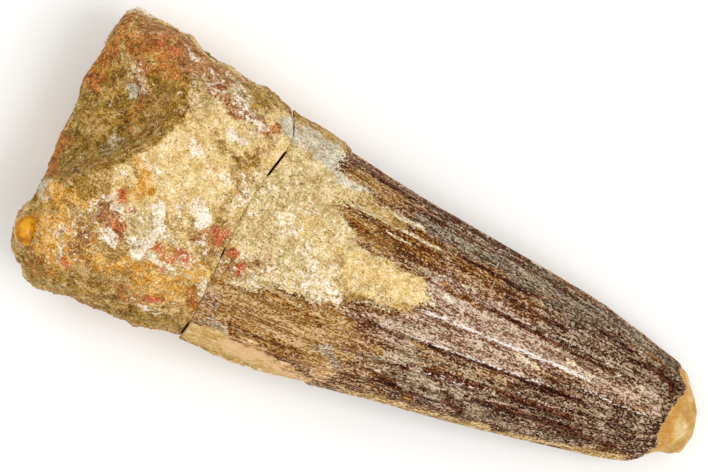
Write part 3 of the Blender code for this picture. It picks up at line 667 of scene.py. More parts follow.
# %% The root's hollow, stones and pits
HOLLOW_RIM = [(-48, -9.0), (-40.5, -5.0), (-38.5, -3.2), (-36, -0.6), (-33.5, 2.0), (-31.6, 5.3),
              (-30.5, 8.0), (-30.7, 10.6)]
HOLLOW_BACK = [(-30.7, 10.6), (-32.2, 13.0), (-35, 14.3), (-40, 15.2), (-48, 15.0)]
HOLLOW_OUTLINE = HOLLOW_RIM + HOLLOW_BACK[1:]
HOLLOW_DEPTH, HOLLOW_FLANK, HOLLOW_SLOPE, HOLLOW_FLOOR_RISE = 5.4, 3.1, 6.5, 0.12
QUARTZ_LUMPS = [(1.1, 1, -38.6, 12.2, -37.5, 10.4), (0.7, 1, -36.4, 9.5, -36, 8.9)]
# Stones that stand proud, and pits: x, y, radius, and height, which is negative for a pit.
KNOBS = [(-37.9, 11.4, 1.9, 0.8), (-36.2, 9.3, 1.2, 0.5), (-42.0, -6.8, 1.3, 0.7),
         (-40.3, -3.3, 1.3, 0.6), (-42.0, -12.8, 4.5, 1.5), (-41.8, 16.6, 1.6, 0.5),
         (-27.5, -5.5, 2.6, 0.5), (-22.6, -7.0, 1.8, 0.35), (-36.6, -13.5, 1.5, 0.5),
         (-35.0, -7.5, 2.4, 0.45), (-31.0, -14.8, 2.2, 0.5), (-26.0, -12.4, 2.2, 0.35),
         (-21.6, 15.2, 1.8, 0.3), (-31.2, -2.7, 0.9, -0.5), (-37.4, 7.6, 1.3, -0.5),
         (-38.4, -1.2, 1.2, -0.4), (-29.0, -9.0, 1.6, -0.35), (-33.2, -10.5, 1.4, -0.4)]
BONE_STRIP_HEIGHT, RIM_HEIGHT, RIM_WIDTH = 0.3, 0.35, 0.7
ROOT_LUMPS = [(7.0, 0.6, 11), (3.4, 0.45, 12), (1.9, 0.22, 13)]
ROOT_GRAIN = [(1.2, 0.17, 41), (0.65, 0.13, 42), (0.38, 0.07, 39)]
LUMPS_FADE, GRAIN_FADE, GRAIN_AT_BREAK = 3.0, 1.0, 0.35
ROOT_UPPER_SIDE = (3.0, 5.0)  # lift and blend, for seen_from_above


def hollow_depth(x, y):
    """Depth of the hollow: a steep flank under its rim, then a floor that rises a little away from it."""
    from_rim = distance_to(x, y, HOLLOW_RIM)
    from_back = distance_to(x, y, HOLLOW_BACK)
    floor = HOLLOW_DEPTH - HOLLOW_FLOOR_RISE * np.maximum(from_rim - HOLLOW_FLANK, 0)
    depth = floor * smooth_step(from_rim / HOLLOW_FLANK) * smooth_step(from_back / HOLLOW_SLOPE)
    return np.where(inside_by(x, y, HOLLOW_OUTLINE) > 0, depth, 0)


def root_fields_at(points, x, y, relief, grain, upper_side):
    """The root's stains. The hollow is olive, partly its own stain and partly painted shade, strongest on
    the flank just inside its rim, and has little of the pale ones, and bone shows along the upper edge."""
    fields = stains(points, upper_side)
    # Olive stain and painted shade: the hollow gets more olive, most on the flank by its rim, and fewer pale
    # stains.
    in_hollow = smooth_step((inside_by(x, y, HOLLOW_OUTLINE) + 0.7) / 0.9) * relief
    in_hollow = in_hollow * (1 - painted(x, y, QUARTZ_LUMPS))
    flank_shade = np.exp(-((distance_to(x, y, HOLLOW_RIM) - 1.6) / 1.8) ** 2)
    olive = in_hollow * (0.6 + 0.4 * flank_shade + 0.4 * lumps(points, 2.4, 74))
    fields["olive"] = np.maximum(fields["olive"], olive)
    for name in ("gold", "white", "pink", "cream"):
        fields[name] = fields[name] * (1 - 0.75 * in_hollow)
    fields["painted_crevice_shade"] = painted_crevice_shading(grain, 0.22)
    fields["bone"] = smooth_step(0.5 + inside_by(*warped(points, x, y), BONE_STRIP) / 1.6) * upper_side
    return fields


print("the root has", len(KNOBS), "knobs and pits")

# %% [markdown]
# The pebble sits in the sandstone, so the root needs a seat for it. The pebble is an egg with three
# half axes that is turned about the vertical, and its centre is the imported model's.

# %% The pebble's seat
PEBBLE_HALF_AXES = (1.55, 2.05, 1.5)
PEBBLE_TURN = math.radians(27)
SEAT_GAP = 0.05
PEBBLE_AXES = np.array([[math.cos(PEBBLE_TURN), -math.sin(PEBBLE_TURN), 0],
                        [math.sin(PEBBLE_TURN), math.cos(PEBBLE_TURN), 0], [0, 0, 1]])


def pressed_by_pebble(points):
    """Points that would lie inside the pebble or touch it are pushed out to a seat just around it."""
    seat = np.array(PEBBLE_HALF_AXES) + SEAT_GAP
    local = (points - pebble_centre) @ PEBBLE_AXES / seat
    reach = np.maximum(np.linalg.norm(local, axis=-1, keepdims=True), 1e-6)
    pushed = np.where(reach < 1, local / reach, local)
    return pushed * seat @ PEBBLE_AXES.T + pebble_centre


print("a point at the pebble's centre moves to", pressed_by_pebble(pebble_centre + [0.01, 0, 0]).round(2))

# %% The root's surface


def root_surface(along, turn, share):
    """The squared oval section with lumps, knobs, pits, a bone strip, the hollow and the pebble's seat."""
    from_break = BREAK_PLACE - along
    own_shape = smooth_step(from_break / SQUARED_OVER)
    squareness = CROWN_SQUARENESS + (ROOT_SQUARENESS - CROWN_SQUARENESS) * own_shape
    y, z, out_y, out_z = on_section(ROOT_LINES, squareness, along, turn, share)
    x = along_break(along, y, z, -1)
    x += (through(END_LINE, y) - ROOT_END) * smooth_step(1 - (along - ROOT_END) / END_REACH)
    points = np.stack([x, y, z], -1)
    top = through(ROOT_LINES["top"], along)
    middle = (top + through(ROOT_LINES["under"], along)) / 2
    relief = smooth_step((z - middle) / (0.7 * (top - middle)))

    out = BONE_STRIP_HEIGHT * (smooth_step(0.5 + inside_by(x, y, BONE_STRIP)) * relief)
    for knob_x, knob_y, radius, height in KNOBS:
        out += height * relief * np.exp(-((x - knob_x) ** 2 + (y - knob_y) ** 2) / (0.5 * radius) ** 2 / 2)
    out += rough(points, ROOT_LUMPS)
    out *= smooth_step(from_break / LUMPS_FADE)
    grain = rough(points, ROOT_GRAIN)
    coarse = GRAIN_AT_BREAK + (1 - GRAIN_AT_BREAK) * smooth_step(from_break / GRAIN_FADE)
    rim = np.exp(-(distance_to(x, y, HOLLOW_RIM) / RIM_WIDTH) ** 2) * relief
    out += coarse * grain + RIM_HEIGHT * rim
    # On the side walls the relief pushes outwards, and on the broken end it pushes along the tooth.
    side = smooth_step((share - 0.72) / 0.28)
    points[..., 0] -= out * (1 - side) * smooth_step((BREAK_PLACE - 1 - along) / 3.0)
    points[..., 1] += out * out_y * side
    points[..., 2] += out * out_z * side - hollow_depth(x, y) * np.clip((z - middle) / (top - middle), 0, 1)
    points[..., 2] = np.maximum(points[..., 2], 0)
    points = pressed_by_pebble(points)
    upper_side = seen_from_above(z, middle, *ROOT_UPPER_SIDE) * smooth_step((share - 0.5) / 0.4)
    return points, root_fields_at(points, x, y, relief, grain, upper_side)


# %% The root's mesh
ROOT_ROWS, ROOT_COLUMNS, ROOT_TOP_DENSITY = 150, 480, 0.4
END_ROWS, CORNER_ROWS, CORNER_START, END_EDGE = 30, 12, -41.6, 0.958
ROOT_FACE = BREAK_PLACE - BREAK_GAP / 2
even = np.arange(ROOT_COLUMNS) * math.tau / ROOT_COLUMNS
root_turns = even + ROOT_TOP_DENSITY * np.cos(even)
end_shares = np.linspace(END_EDGE, 0, END_ROWS) ** 0.8
round_corner = np.linspace(0, 1, CORNER_ROWS)[1:] * math.pi / 2
root_along = np.concatenate([np.full(len(FACE_SHARES), ROOT_FACE),
                             np.linspace(ROOT_FACE - 0.1, CORNER_START, ROOT_ROWS),
                             CORNER_START + (ROOT_END - CORNER_START) * np.sin(round_corner),
                             ROOT_END + BROKEN_END_DROP * (1 - end_shares[1:])])
root_shares = np.concatenate([FACE_SHARES[::-1], np.ones(ROOT_ROWS),
                              1 - (1 - end_shares[0]) * (1 - np.cos(round_corner)), end_shares[1:]])
root_points, root_fields = root_surface(root_along[:, None], root_turns[None, :], root_shares[:, None])
root = closed_mesh("sandstone_root", root_points, root_fields)
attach(root, "root")
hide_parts("tooth_root")

# %% [markdown]
# The pebble itself is river-worn quartz, so its egg has a few soft dents. A formula on a grid of
# latitude and longitude makes it.

# %% The quartz pebble


def pebble_surface(latitude, longitude):
    """An egg with three half axes, turned about the vertical, with dents of about 1 mm."""
    ball = np.stack([np.cos(latitude) * np.cos(longitude), np.cos(latitude) * np.sin(longitude),
                     np.sin(latitude) * np.ones_like(longitude)], -1)
    dented = ball * (1 + 0.03 * lumps(ball * 2 + 5, 1.0, 64) - 0.02)[..., None]
    return dented * PEBBLE_HALF_AXES @ PEBBLE_AXES.T + pebble_centre


pebble_points = pebble_surface(np.linspace(-math.pi / 2, math.pi / 2, 49)[:, None],
                               np.linspace(0, math.tau, 72, endpoint=False)[None, :])
pebble = closed_mesh("amber_pebble", pebble_points, {})
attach(pebble, "root")
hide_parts("quartz_pebble")

# %% [markdown]
# Sandstone is grains, and the loose ones on its surface catch the light. A few thousand low-faced
# stones are strewn over it as joined meshes: each is an icosahedron, stretched, turned and partly sunk.

# %% Shapes for grains of sand


def icosahedron():
    """The twelve corners and twenty faces of a unit icosahedron, from three golden rectangles."""
    golden = (1 + math.sqrt(5)) / 2
    corners = [(a, b * golden, 0) for b in (-1, 1) for a in (-1, 1)]
    corners += [(0, a, b * golden) for b in (-1, 1) for a in (-1, 1)]
    corners += [(b * golden, 0, a) for b in (-1, 1) for a in (-1, 1)]
    corners = np.array(corners, float) / math.hypot(1, golden)
    faces = []
    for a, b, c in np.ndindex(12, 12, 12):
        close = all(np.linalg.norm(corners[m] - corners[n]) < 1.2 for m, n in ((a, b), (b, c), (a, c)))
        if a < b and b < c and close:
            out = np.dot(corners[a], np.cross(corners[b], corners[c]))
            faces.append((a, b, c) if out > 0 else (a, c, b))
    return corners, np.array(faces)


def random_turns(random, count):
    """Rotation matrices, from random unit quaternions."""
    w, x, y, z = random.normal(size=(4, count))
    length = np.sqrt(w * w + x * x + y * y + z * z)
    w, x, y, z = w / length, x / length, y / length, z / length
    return np.stack([np.stack([1 - 2 * (y * y + z * z), 2 * (x * y - z * w), 2 * (x * z + y * w)], -1),
                     np.stack([2 * (x * y + z * w), 1 - 2 * (x * x + z * z), 2 * (y * z - x * w)], -1),
                     np.stack([2 * (x * z - y * w), 2 * (y * z + x * w), 1 - 2 * (x * x + y * y)], -1)], 1)


ball, ball_faces = icosahedron()
print("a grain has", len(ball), "corners and", len(ball_faces), "faces")

# %% Strewn grains of sand
# Shares of a grain's radius: how far it is sunk, and how high its centre stands over the floor.
SUNK_BY, OVER_FLOOR = 0.35, 1.3
RADIUS_SPREAD, STRETCH, CHIPPED = (0.7, 1.3), (0.75, 1.2), (0.85, 1.12)


def strewn_grains(name, points, fields, cover, count, radii, seed):
    """Grains on a grid surface, more of them where cover is high, each partly sunk into it."""
    random = np.random.default_rng(seed)
    along = points[2:, :-1] - points[1:-1, :-1]
    across = points[1:-1, 1:] - points[1:-1, :-1]
    normal = np.cross(along, across)
    area = np.linalg.norm(normal, axis=-1)
    chance = (area * cover[1:-1, :-1]).ravel()
    chosen = random.choice(chance.size, count, p=chance / chance.sum())
    row, column = np.unravel_index(chosen, area.shape)
    u, v = random.uniform(size=(2, count, 1))
    place = points[1:-1, :-1][row, column] + u * along[row, column] + v * across[row, column]
    out = normal[row, column] / np.maximum(area[row, column], 1e-9)[:, None]
    outwards = np.einsum("ij,ij->i", out, place - points.reshape(-1, 3).mean(0)) > 0
    out = out if outwards.mean() > 0.5 else -out
    radius = random.uniform(*radii, (count, 1)) * random.uniform(*RADIUS_SPREAD, (count, 1))
    place = place - SUNK_BY * radius * out
    place[:, 2] = np.maximum(place[:, 2], OVER_FLOOR * radius[:, 0])
    shapes = ball[None] * random.uniform(*STRETCH, (count, 1, 3))
    shapes = shapes * random.uniform(*CHIPPED, (count, len(ball), 1))
    shapes = np.einsum("nij,nkj->nki", random_turns(random, count), shapes)
    corners = (place[:, None] + radius[:, None] * shapes).reshape(-1, 3) * MILLIMETRE
    joined = (np.arange(count)[:, None, None] * len(ball) + ball_faces[None]).reshape(-1, 3)
    mesh = bpy.data.meshes.new(name)
    mesh.from_pydata(corners, [], joined.tolist())
    values = {field_name: field[1:-1, :-1][row, column] for field_name, field in fields.items()}
    values["grain"] = random.uniform(size=count)
    for field_name, value in values.items():
        write_field(mesh, field_name, np.repeat(value, len(ball)))
    made = add_object(name, mesh)
    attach(made, "root")
    print(name, "has", count, "grains and", len(joined), "triangles")
    return made


root_stains = {name: root_fields[name] for name in STONE_STROKES}
crown_stains = {name: crown_fields[name] for name in STONE_STROKES}
on_root = np.where(root_along[:, None] < BREAK_PLACE - 0.4, 1.0, 0.0) * np.ones(ROOT_COLUMNS)
on_crown = np.where(crown_along[:, None] > BREAK_PLACE + 0.4, 1.0, 0.0)
on_crown = on_crown * smooth_step(crown_fields["sandstone"] * 2 - 1)
root_grains = strewn_grains("root_sand", root_points, root_stains, on_root, 7000, (0.12, 0.22), 5)
crown_grains = strewn_grains("crown_sand", crown_points, crown_stains, on_crown, 3000, (0.1, 0.18), 6)

# %% [markdown]
# Finishes are built from nodes. One function turns a hex colour to linear light, and one adds a
# node with its settings and links. Patterns read Object coordinates, so they run on over the break.

# %% Colours and nodes


def hex_colour(text):
    """An sRGB hex colour as linear red, green, blue and alpha: each channel's power 2.4 curve undone."""
    channels = [int(text[n:n + 2], 16) / 255 for n in (1, 3, 5)]
    return (*[c / 12.92 if c <= 0.04045 else ((c + 0.055) / 1.055) ** 2.4 for c in channels], 1.0)


def put(tree, kind, inputs=None, out=0, ramp=None, **settings):
    """Add a node: set its properties, set or link its inputs, and give back one of its outputs. An input is
    a socket, a number, a hex colour, or the name of a field that the surface carries."""
    made = tree.nodes.new(kind)
    for name, value in settings.items():
        setattr(made, name, value)
    # A new ramp has a first and a last stop, so those two are set before the others are added.
    for place, (at, colour) in enumerate([ramp[0], ramp[-1], *ramp[1:-1]] if ramp else []):
        elements = made.color_ramp.elements
        element = elements[place] if place < 2 else elements.new(at)
        element.position = at
        element.color = hex_colour(colour)
    for name, value in (inputs or {}).items():
        if isinstance(value, str) and value.startswith("#"):
            value = hex_colour(value)
        elif isinstance(value, str):
            value = put(tree, "ShaderNodeAttribute", out="Fac", attribute_name=value)
        if isinstance(value, bpy.types.NodeSocket):
            tree.links.new(value, made.inputs[name])
        else:
            made.inputs[name].default_value = value
    return made.outputs[out]


def new_finish(name):
    """An empty node material and its tree."""
    material = bpy.data.materials.new(name)
    material.use_nodes = True
    material.node_tree.nodes.clear()
    return material, material.node_tree


def show(tree, inputs):
    """A principled surface with these inputs, linked to the material's output."""
    shader = put(tree, "ShaderNodeBsdfPrincipled", inputs)
    tree.links.new(shader, tree.nodes.new("ShaderNodeOutputMaterial").inputs["Surface"])


def mixed(tree, share, low, high):
    """Two colours mixed by a share."""
    return put(tree, "ShaderNodeMix", {0: share, 6: low, 7: high}, 2, data_type="RGBA")


def over(tree, value, start, soft, strength=1.0):
    """0 where a value is under a start, and the full strength where it is over it by soft."""
    return put(tree, "ShaderNodeMapRange", {"Value": value, "From Min": start, "From Max": start + soft,
                                            "To Max": strength})


print("a mid grey is", round(hex_colour("#808080")[0], 3), "in linear light")

# %% [markdown]
# A stained stone is many thin layers, each with a ragged edge. Noise makes the rags, a weighted sum
# mixes noises with the painted fields, and a layer shows where the sum is over a start. Most layers
# have three tones, and one shade picks the tone, so that the same grains run on through every stain.

# %% Patterns and layers
PER_METRE = 1 / MILLIMETRE


def three_noises(tree, place, size, along=None, detail=4.0, roughness=0.6):
    """Three noise fields that don't match each other, with lumps of a size in millimetres. Where along is
    given, they are that long along the tooth, and the size is their width."""
    if along:
        shrunk = (size / along, 1.0, 1.0)
        place = put(tree, "ShaderNodeVectorMath", {0: place, 1: shrunk}, operation="MULTIPLY")
    colour = put(tree, "ShaderNodeTexNoise", {"Vector": place, "Scale": PER_METRE / size, "Detail": detail,
                                              "Roughness": roughness}, "Color")
    split = put(tree, "ShaderNodeSeparateColor", {"Color": colour}).node
    return [split.outputs[n] for n in range(3)]


def weighted(tree, base, *parts):
    """A base, plus each part's value times its gain."""
    for value, gain in parts:
        base = put(tree, "ShaderNodeMath", {0: value, 1: gain, 2: base}, operation="MULTIPLY_ADD")
    return base


def summed(tree, *parts):
    """Noises added up around one half. Each part is a noise and how strongly it counts."""
    return weighted(tree, 0.5 - sum(gain for noise, gain in parts) / 2, *parts)


def three_tones(tree, shade, dark, middle, light):
    """Dark in the troughs of the shade, light on its grains, the middle tone between."""
    return put(tree, "ShaderNodeValToRGB", {"Fac": shade}, ramp=[(0.08, dark), (0.5, middle), (0.92, light)])


def laid(tree, colour, layer, value, start, soft, strength=1.0):
    """A layer laid over a colour where a value is over a start, and in full where it is over by soft."""
    return mixed(tree, over(tree, value, start, soft, strength), colour, layer)


def stained(tree, colour, name, layer, broken_by, breakup, start, soft, strength=1.0):
    """A layer laid over a colour where the painted field of that name, broken up by noise, is high."""
    value = weighted(tree, -0.12 - breakup / 2, (name, 1.25), (broken_by, breakup))
    return laid(tree, colour, layer, value, start, soft, strength)


print("noise with lumps of 1 mm has a scale of", PER_METRE)


# %% [markdown]
# Desert sandstone is quartz grains, about a quarter of a millimetre across, in a crust of iron and
# lime. It is matt. The eye sees soft clouds of cream, straw and olive, and over them a fluffy speckle
# of white lime, rust and red.

# %% Sandstone as layers of colour
SAND_GRAIN = 0.25
# A dark, a middle and a light tone for each stain.
STONE_TONES = {
    "beige": ("#805a28", "#b08c4c", "#e2c68c"),
    "cream": ("#a3874f", "#ceb57f", "#f0deb4"),
    "gold": ("#c69f58", "#e0c284", "#f6e3b6"),
    "olive": ("#523503", "#916e20", "#c39b48"),
    "grey": ("#a0906f", "#c9bfa4", "#ece4cf"),
    "rust": ("#713603", "#aa6824", "#db9850"),
    "orange": ("#a8690f", "#d39a3c", "#f0cc8a"),
    "pink": ("#683a16", "#9a6436", "#cc9a68"),
    "red": ("#94401c", "#c05c34", "#e89a6c"),
    "white": ("#c9ad86", "#f0e2cb", "#fdf7ec"),
}
PIT_BROWN = "#5c3f18"


def sandstone_layers(tree, place):
    """Colour and height of the sandstone: a grainy shade, and the stains from the widest to the finest."""
    broad = three_noises(tree, place, 1.8, detail=3.0)
    patchy = three_noises(tree, place, 1.3, roughness=0.65)
    fluffy = three_noises(tree, place, 0.7, roughness=0.7)
    grain = three_noises(tree, place, SAND_GRAIN, detail=1.0, roughness=0.5)
    shade = summed(tree, (grain[0], 1.5), (fluffy[0], 1.5), (broad[0], 1.3))
    # Painted shade: the tone is darker where the surface is low between the grains.
    shade = weighted(tree, shade, ("painted_crevice_shade", -0.22))
    tone = {name: three_tones(tree, shade, *tones) for name, tones in STONE_TONES.items()}
    colour = tone["beige"]
    for name, broken_by, breakup, soft in (("cream", patchy[0], 3.0, 0.5), ("olive", patchy[1], 3.0, 0.5),
                                           ("gold", patchy[2], 3.0, 0.5), ("grey", fluffy[1], 3.0, 0.4),
                                           ("rust", patchy[0], 3.5, 0.5), ("orange", patchy[1], 3.0, 0.5),
                                           ("pink", fluffy[2], 3.0, 0.5), ("red", fluffy[0], 3.0, 0.7)):
        colour = stained(tree, colour, name, tone[name], broken_by, breakup, 0.5 - soft / 2, soft)
    lime = weighted(tree, -0.22, (summed(tree, (fluffy[1], 1.3), (grain[1], 0.4)), 1.0), ("white", 0.36))
    colour = laid(tree, colour, tone["white"], lime, 0.46, 0.1, 0.88)
    pits = over(tree, summed(tree, (fluffy[2], -1.0), (grain[2], -1.0)), 0.69, 0.1, 0.75)
    height = weighted(tree, 0.0, (pits, -0.5), (shade, 0.5))
    return mixed(tree, pits, colour, PIT_BROWN), height


print("the sandstone has", len(STONE_TONES), "stains of three tones")


# %% Sandstone of the root


def make_sandstone():
    """Matt and dry: high roughness, weak gloss, a grainy bump. Bone shows as a reddish, fibrous strip."""
    material, tree = new_finish("desert_sandstone")
    place = put(tree, "ShaderNodeTexCoord", out="Object")
    stone, height = sandstone_layers(tree, place)
    fibre = three_noises(tree, place, 0.4, along=3.0, detail=2.0)
    bone = three_tones(tree, summed(tree, (fibre[0], 2.5), (fibre[1], 1.0)), "#642f0f", "#985d30", "#cc9460")
    colour = stained(tree, stone, "bone", bone, fibre[2], 3.0, 0.25, 0.5, 0.9)
    normal = put(tree, "ShaderNodeBump", {"Height": height, "Strength": 0.8, "Distance": 0.0002}, "Normal")
    show(tree, {"Base Color": colour, "Roughness": 0.8, "Normal": normal, "Specular IOR Level": 0.2})
    return material


sandstone = make_sandstone()
root.data.materials.append(sandstone)
print("the root's finish has", len(sandstone.node_tree.nodes), "nodes")

# %% [markdown]
# Fossil enamel is a hard skin, crazed and scratched, stained brown by iron and black by manganese.
# Seen close it is a dark, faintly glossy ground under grit and scratches that run along the tooth,
# with painted glints. So it is made as the stone is, from one shade and three tones for each stain,
# but its shade is drawn out along the tooth, with dark lines in the flutes and painted highlights on crests.

# %% Enamel as layers of colour
# The real scratches are too fine to show. They are drawn 0.2 mm wide, about a pixel and a half.
SCRATCH = 0.2
ENAMEL_TONES = {
    "mahogany": ("#4c220a", "#8a5a2a", "#d0b088"),
    "golden": ("#83521c", "#b08448", "#dab886"),
    "pinkish": ("#66381f", "#9c765d", "#dfc8b2"),
    "dark": ("#2e1405", "#6c4d33", "#c4a88c"),
    "film": ("#443422", "#7e6a53", "#baab92"),
    "amber": ("#522405", "#844c14", "#c0904c"),
    "vein": ("#200802", "#4c1a06", "#80482a"),
    "blush": ("#b5844c", "#e5b583", "#f8dab0"),
    "crust": ("#745a3c", "#ab9374", "#dccbb0"),
    "lime": ("#b0925f", "#dfca9f", "#f8edd2"),
    "rim": ("#98723c", "#cfa96e", "#f0d6a6"),
}
SPECK_TONES = [(0.42, "#a48d6e"), (0.5, "#c6b290"), (0.58, "#e6d8bc")]
GLINT_WHITE, CRACK_FILLING = "#fcf4ea", "#cdb69c"


def enamel_layers(tree, place):
    """Colour and height of the enamel: a scratched shade, its stains, then specks, painted glints and
    crusts.
    It also gives back the noises of grit and lines, which the layers over it share."""
    scratch = three_noises(tree, place, SCRATCH, along=0.5, detail=1.0)
    line = three_noises(tree, place, 0.4, along=3.0, detail=2.0)
    band = three_noises(tree, place, 1.3, along=8.0, detail=3.0)
    short = three_noises(tree, place, 0.8, along=1.8)
    grit = three_noises(tree, place, SAND_GRAIN, detail=1.0, roughness=0.5)

    shade = summed(tree, (scratch[0], 2.6), (grit[0], 1.5), (line[0], 1.4), (band[0], 1.2))
    # Dust and painted sheen lighten the shade, and the valleys darken it.
    shade = weighted(tree, -0.08, (shade, 1.0), ("dust_and_sheen", 0.18), ("valley", -0.3))
    tone = {name: three_tones(tree, shade, *tones) for name, tones in ENAMEL_TONES.items()}
    colour = tone["mahogany"]
    for name, broken_by, soft in (("golden", band[1], 0.5), ("dark", band[2], 0.5),
                                  ("pinkish", short[0], 0.5), ("film", line[1], 0.4),
                                  ("blush", short[1], 0.4), ("amber", line[2], 0.4)):
        colour = stained(tree, colour, name, tone[name], broken_by, 3.0, 0.5 - soft / 2, soft)

    speck = summed(tree, (grit[1], 1.6), (short[2], 1.8), (scratch[1], 0.8))
    speck = weighted(tree, speck, ("speckled", 0.19))
    speck_tone = put(tree, "ShaderNodeValToRGB", {"Fac": short[0]}, ramp=SPECK_TONES)
    colour = laid(tree, colour, speck_tone, speck, 0.8, 0.12, 0.65)
    colour = stained(tree, colour, "vein", tone["vein"], line[0], 2.0, 0.35, 0.3, 0.92)
    # Painted highlights: tiny glints laid into the colour, and a painted highlight along the chosen crests.
    glint = weighted(tree, summed(tree, (scratch[2], 2.4), (line[2], 1.0)), ("painted_crest_highlight", 0.95))
    colour = laid(tree, colour, GLINT_WHITE, glint, 1.05, 0.16, 0.85)
    for name, broken_by, soft in (("crust", grit[2], 0.2), ("lime", grit[1], 0.25), ("rim", grit[1], 0.2)):
        colour = stained(tree, colour, name, tone[name], broken_by, 2.6, 0.4, soft, 0.95)
    crack = weighted(tree, "crack", (grit[0], 0.25))
    colour = laid(tree, colour, CRACK_FILLING, weighted(tree, 1.0, (crack, -1.0)), 0.765, 0.06, 0.7)
    return colour, shade, grit, line


print("the enamel has", len(ENAMEL_TONES), "stains of three tones")


# %% Dentine under the enamel
IVORY_TONES = ("#a67a3c", "#dbb470", "#f4dca8")
IVORY_CLOUDS, IVORY_BLUSH, TIP_BORDER = "#c8935a", "#f0c292", "#c8862c"
TIP_TONES = [(0.38, "#bd8c4a"), (0.48, "#d4aa64"), (0.56, "#e2bd7c"), (0.64, "#f0d4a2")]


def dentine_layers(tree, place, grit, line):
    """Colour of the bare dentine: ivory with pinkish clouds, and amber and smoother on the worn tip."""
    ivory = three_noises(tree, place, 0.7, detail=3.0)
    shade = summed(tree, (ivory[0], 1.3), (line[2], 1.0), (grit[1], 0.5))
    dentine = laid(tree, three_tones(tree, shade, *IVORY_TONES), IVORY_CLOUDS, ivory[1], 0.53, 0.08, 0.6)
    dentine = stained(tree, dentine, "blush", IVORY_BLUSH, ivory[2], 2.0, 0.3, 0.4, 0.75)
    smooth = three_noises(tree, place, 2.6, detail=3.0, roughness=0.55)
    tip = put(tree, "ShaderNodeValToRGB", {"Fac": smooth[0]}, ramp=TIP_TONES)
    tip = mixed(tree, weighted(tree, 0.0, ("border", 0.85)), tip, TIP_BORDER)
    return mixed(tree, weighted(tree, 0.0, ("worn", 0.8)), dentine, tip)


print("the worn tip has", len(TIP_TONES), "tones")


# %% Enamel, dentine and sandstone of the crown


def make_enamel():
    """Enamel with a low gloss, matt cream dentine where it is worn off, and sandstone over the wide end."""
    material, tree = new_finish("fossil_enamel")
    place = put(tree, "ShaderNodeTexCoord", out="Object")
    colour, enamel_height, grit, line = enamel_layers(tree, place)
    stone, stone_height = sandstone_layers(tree, place)
    dentine = dentine_layers(tree, place, grit, line)
    bare = over(tree, weighted(tree, 0.0, (grit[2], 0.5), ("bare", 0.5)), 0.45, 0.08)
    colour = mixed(tree, bare, colour, dentine)
    ragged = summed(tree, (line[1], 1.6), (grit[0], 1.2))
    sandy = over(tree, weighted(tree, -0.5, (ragged, 1.0), ("sandstone", 1.0)), 0.45, 0.12)
    colour = mixed(tree, sandy, colour, stone)
    matt = put(tree, "ShaderNodeMath", {0: sandy, 1: bare}, operation="MAXIMUM")
    roughness = put(tree, "ShaderNodeMapRange", {"Value": matt, "To Min": 0.38, "To Max": 0.8})
    height = put(tree, "ShaderNodeMix", {0: sandy, 2: enamel_height, 3: stone_height}, data_type="FLOAT")
    normal = put(tree, "ShaderNodeBump", {"Height": height, "Strength": 0.8, "Distance": 0.00016}, "Normal")
    show(tree, {"Base Color": colour, "Roughness": roughness, "Normal": normal, "Specular IOR Level": 0.05})
    return material


enamel = make_enamel()
crown.data.materials.append(enamel)
print("the crown's finish has", len(enamel.node_tree.nodes), "nodes")

# %% [markdown]
# Loose grains are the same stone as what they lie on, but each has a tone of its own: most are clear
# or cream quartz, a few are rusty and a few nearly white. The pebble is quartz too, stained amber by
# iron and polished by water, so it is smooth and glossy and a little light gets into it.

# %% Loose grains and the pebble
GRAIN_TONES = [(0.0, "#8a6a3c"), (0.25, "#bd9a60"), (0.6, "#d9bf8e"), (0.85, "#f0e0c0"), (0.93, "#bf7f48")]
AMBER_TONES = [(0.4, "#9c6200"), (0.5, "#c08000"), (0.62, "#dc9e0c")]


def make_grains():
    """Sand grains: the sandstone's own stains, mixed with a tone picked for each grain."""
    material, tree = new_finish("loose_sand_grains")
    place = put(tree, "ShaderNodeTexCoord", out="Object")
    stone = sandstone_layers(tree, place)[0]
    own = put(tree, "ShaderNodeValToRGB", {"Fac": "grain"}, ramp=GRAIN_TONES)
    colour = mixed(tree, 0.15, stone, own)
    show(tree, {"Base Color": colour, "Roughness": 0.75, "Specular IOR Level": 0.3})
    return material


def make_amber_quartz():
    """Glossy amber quartz, cloudy in itself: the colour is in the body, under a smooth, wet-looking skin."""
    material, tree = new_finish("amber_quartz")
    cloud = three_noises(tree, put(tree, "ShaderNodeTexCoord", out="Object"), 1.6, detail=3.0)
    colour = put(tree, "ShaderNodeValToRGB", {"Fac": cloud[0]}, ramp=AMBER_TONES)
    show(tree, {"Base Color": colour, "Roughness": 0.22, "IOR": 1.54, "Specular IOR Level": 0.12,
                "Subsurface Weight": 0.25, "Subsurface Scale": 0.0015, "Coat Weight": 0.4,
                "Coat Roughness": 0.05})
    return material


grain_finish = make_grains()
root_grains.data.materials.append(grain_finish)
crown_grains.data.materials.append(grain_finish)
pebble.data.materials.append(make_amber_quartz())
print("materials:", sorted(material.name for material in bpy.data.materials))

# %% [markdown]
# The tooth lies on a plain near-white sheet. A long lens looks straight down, turned 25 degrees, so
# that the tooth crosses the picture from the upper left to the right.

# %% Floor and camera
FLOOR_SIZE = 1.2
VIEW_TURN = math.radians(25.1)
VIEW_CENTRE = (-4.93, 4.21)  # millimetres, on the plane that the picture's scale holds for
VIEW_PLANE_HEIGHT = 12.0
VIEW_WIDTH = 88.5
LENS, SENSOR = 800.0, 36.0

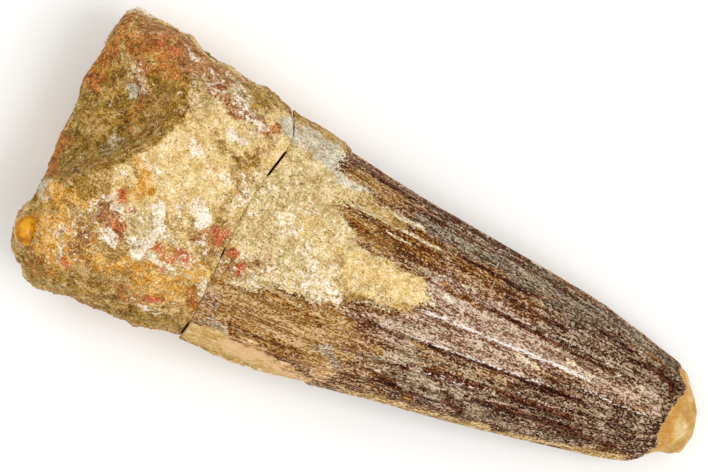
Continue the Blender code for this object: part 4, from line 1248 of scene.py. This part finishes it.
floor_mesh = bpy.data.meshes.new("white_sheet")
half = FLOOR_SIZE / 2
floor_mesh.from_pydata([(-half, -half, 0), (half, -half, 0), (half, half, 0), (-half, half, 0)], [],
                       [(0, 1, 2, 3)])
floor = add_object("white_sheet", floor_mesh)
floor_finish, floor_tree = new_finish("white_paper")
show(floor_tree, {"Base Color": "#fcfcfb", "Roughness": 0.9, "Specular IOR Level": 0.2})
floor_mesh.materials.append(floor_finish)

camera_data = bpy.data.cameras.new("copy_stand")
camera_data.lens, camera_data.sensor_width = LENS, SENSOR
camera_data.clip_start, camera_data.clip_end = 0.01, 20.0
camera = add_object("copy_stand", camera_data)
distance = VIEW_WIDTH * LENS / SENSOR
camera.location = np.array([*VIEW_CENTRE, VIEW_PLANE_HEIGHT + distance]) * MILLIMETRE
camera.rotation_euler = (0, 0, VIEW_TURN)
bpy.context.scene.camera = camera
print("camera stands", round(distance), "mm above the tooth")

# %% [markdown]
# The light is a bright white room, which leaves only soft shadows, with one lamp at the lower right
# and a weaker one at the upper left, so that the flutes and the hollow's rim still have a light side.

# %% Light
ROOM_BRIGHTNESS = 0.75


def soft_light(name, power, size, picture_side, height):
    """A square lamp, in metres and watts. Its place is given along the picture's right and up directions."""
    data = bpy.data.lights.new(name, "AREA")
    data.energy, data.size = power, size
    right = np.array([math.cos(VIEW_TURN), math.sin(VIEW_TURN)])
    up = np.array([-math.sin(VIEW_TURN), math.cos(VIEW_TURN)])
    place = np.array([*(picture_side[0] * right + picture_side[1] * up), height])
    lamp = add_object(name, data)
    lamp.location = place
    w = place / np.linalg.norm(place)
    lamp.rotation_euler = (math.acos(w[2]), 0, math.atan2(w[1], w[0]) + math.pi / 2)


soft_light("key_softbox", 7.0, 0.7, (0.5, -0.22), 1.1)
soft_light("fill_softbox", 2.2, 1.0, (-0.6, 0.5), 1.0)
world = bpy.data.worlds.new("bright_studio")
bpy.context.scene.world = world
world.use_nodes = True
world.node_tree.nodes["Background"].inputs["Color"].default_value = (1, 1, 1, 1)
world.node_tree.nodes["Background"].inputs["Strength"].default_value = ROOM_BRIGHTNESS
bpy.context.scene.view_settings.view_transform = "Standard"
print("lamps:", sorted(lamp.name for lamp in bpy.data.lights))
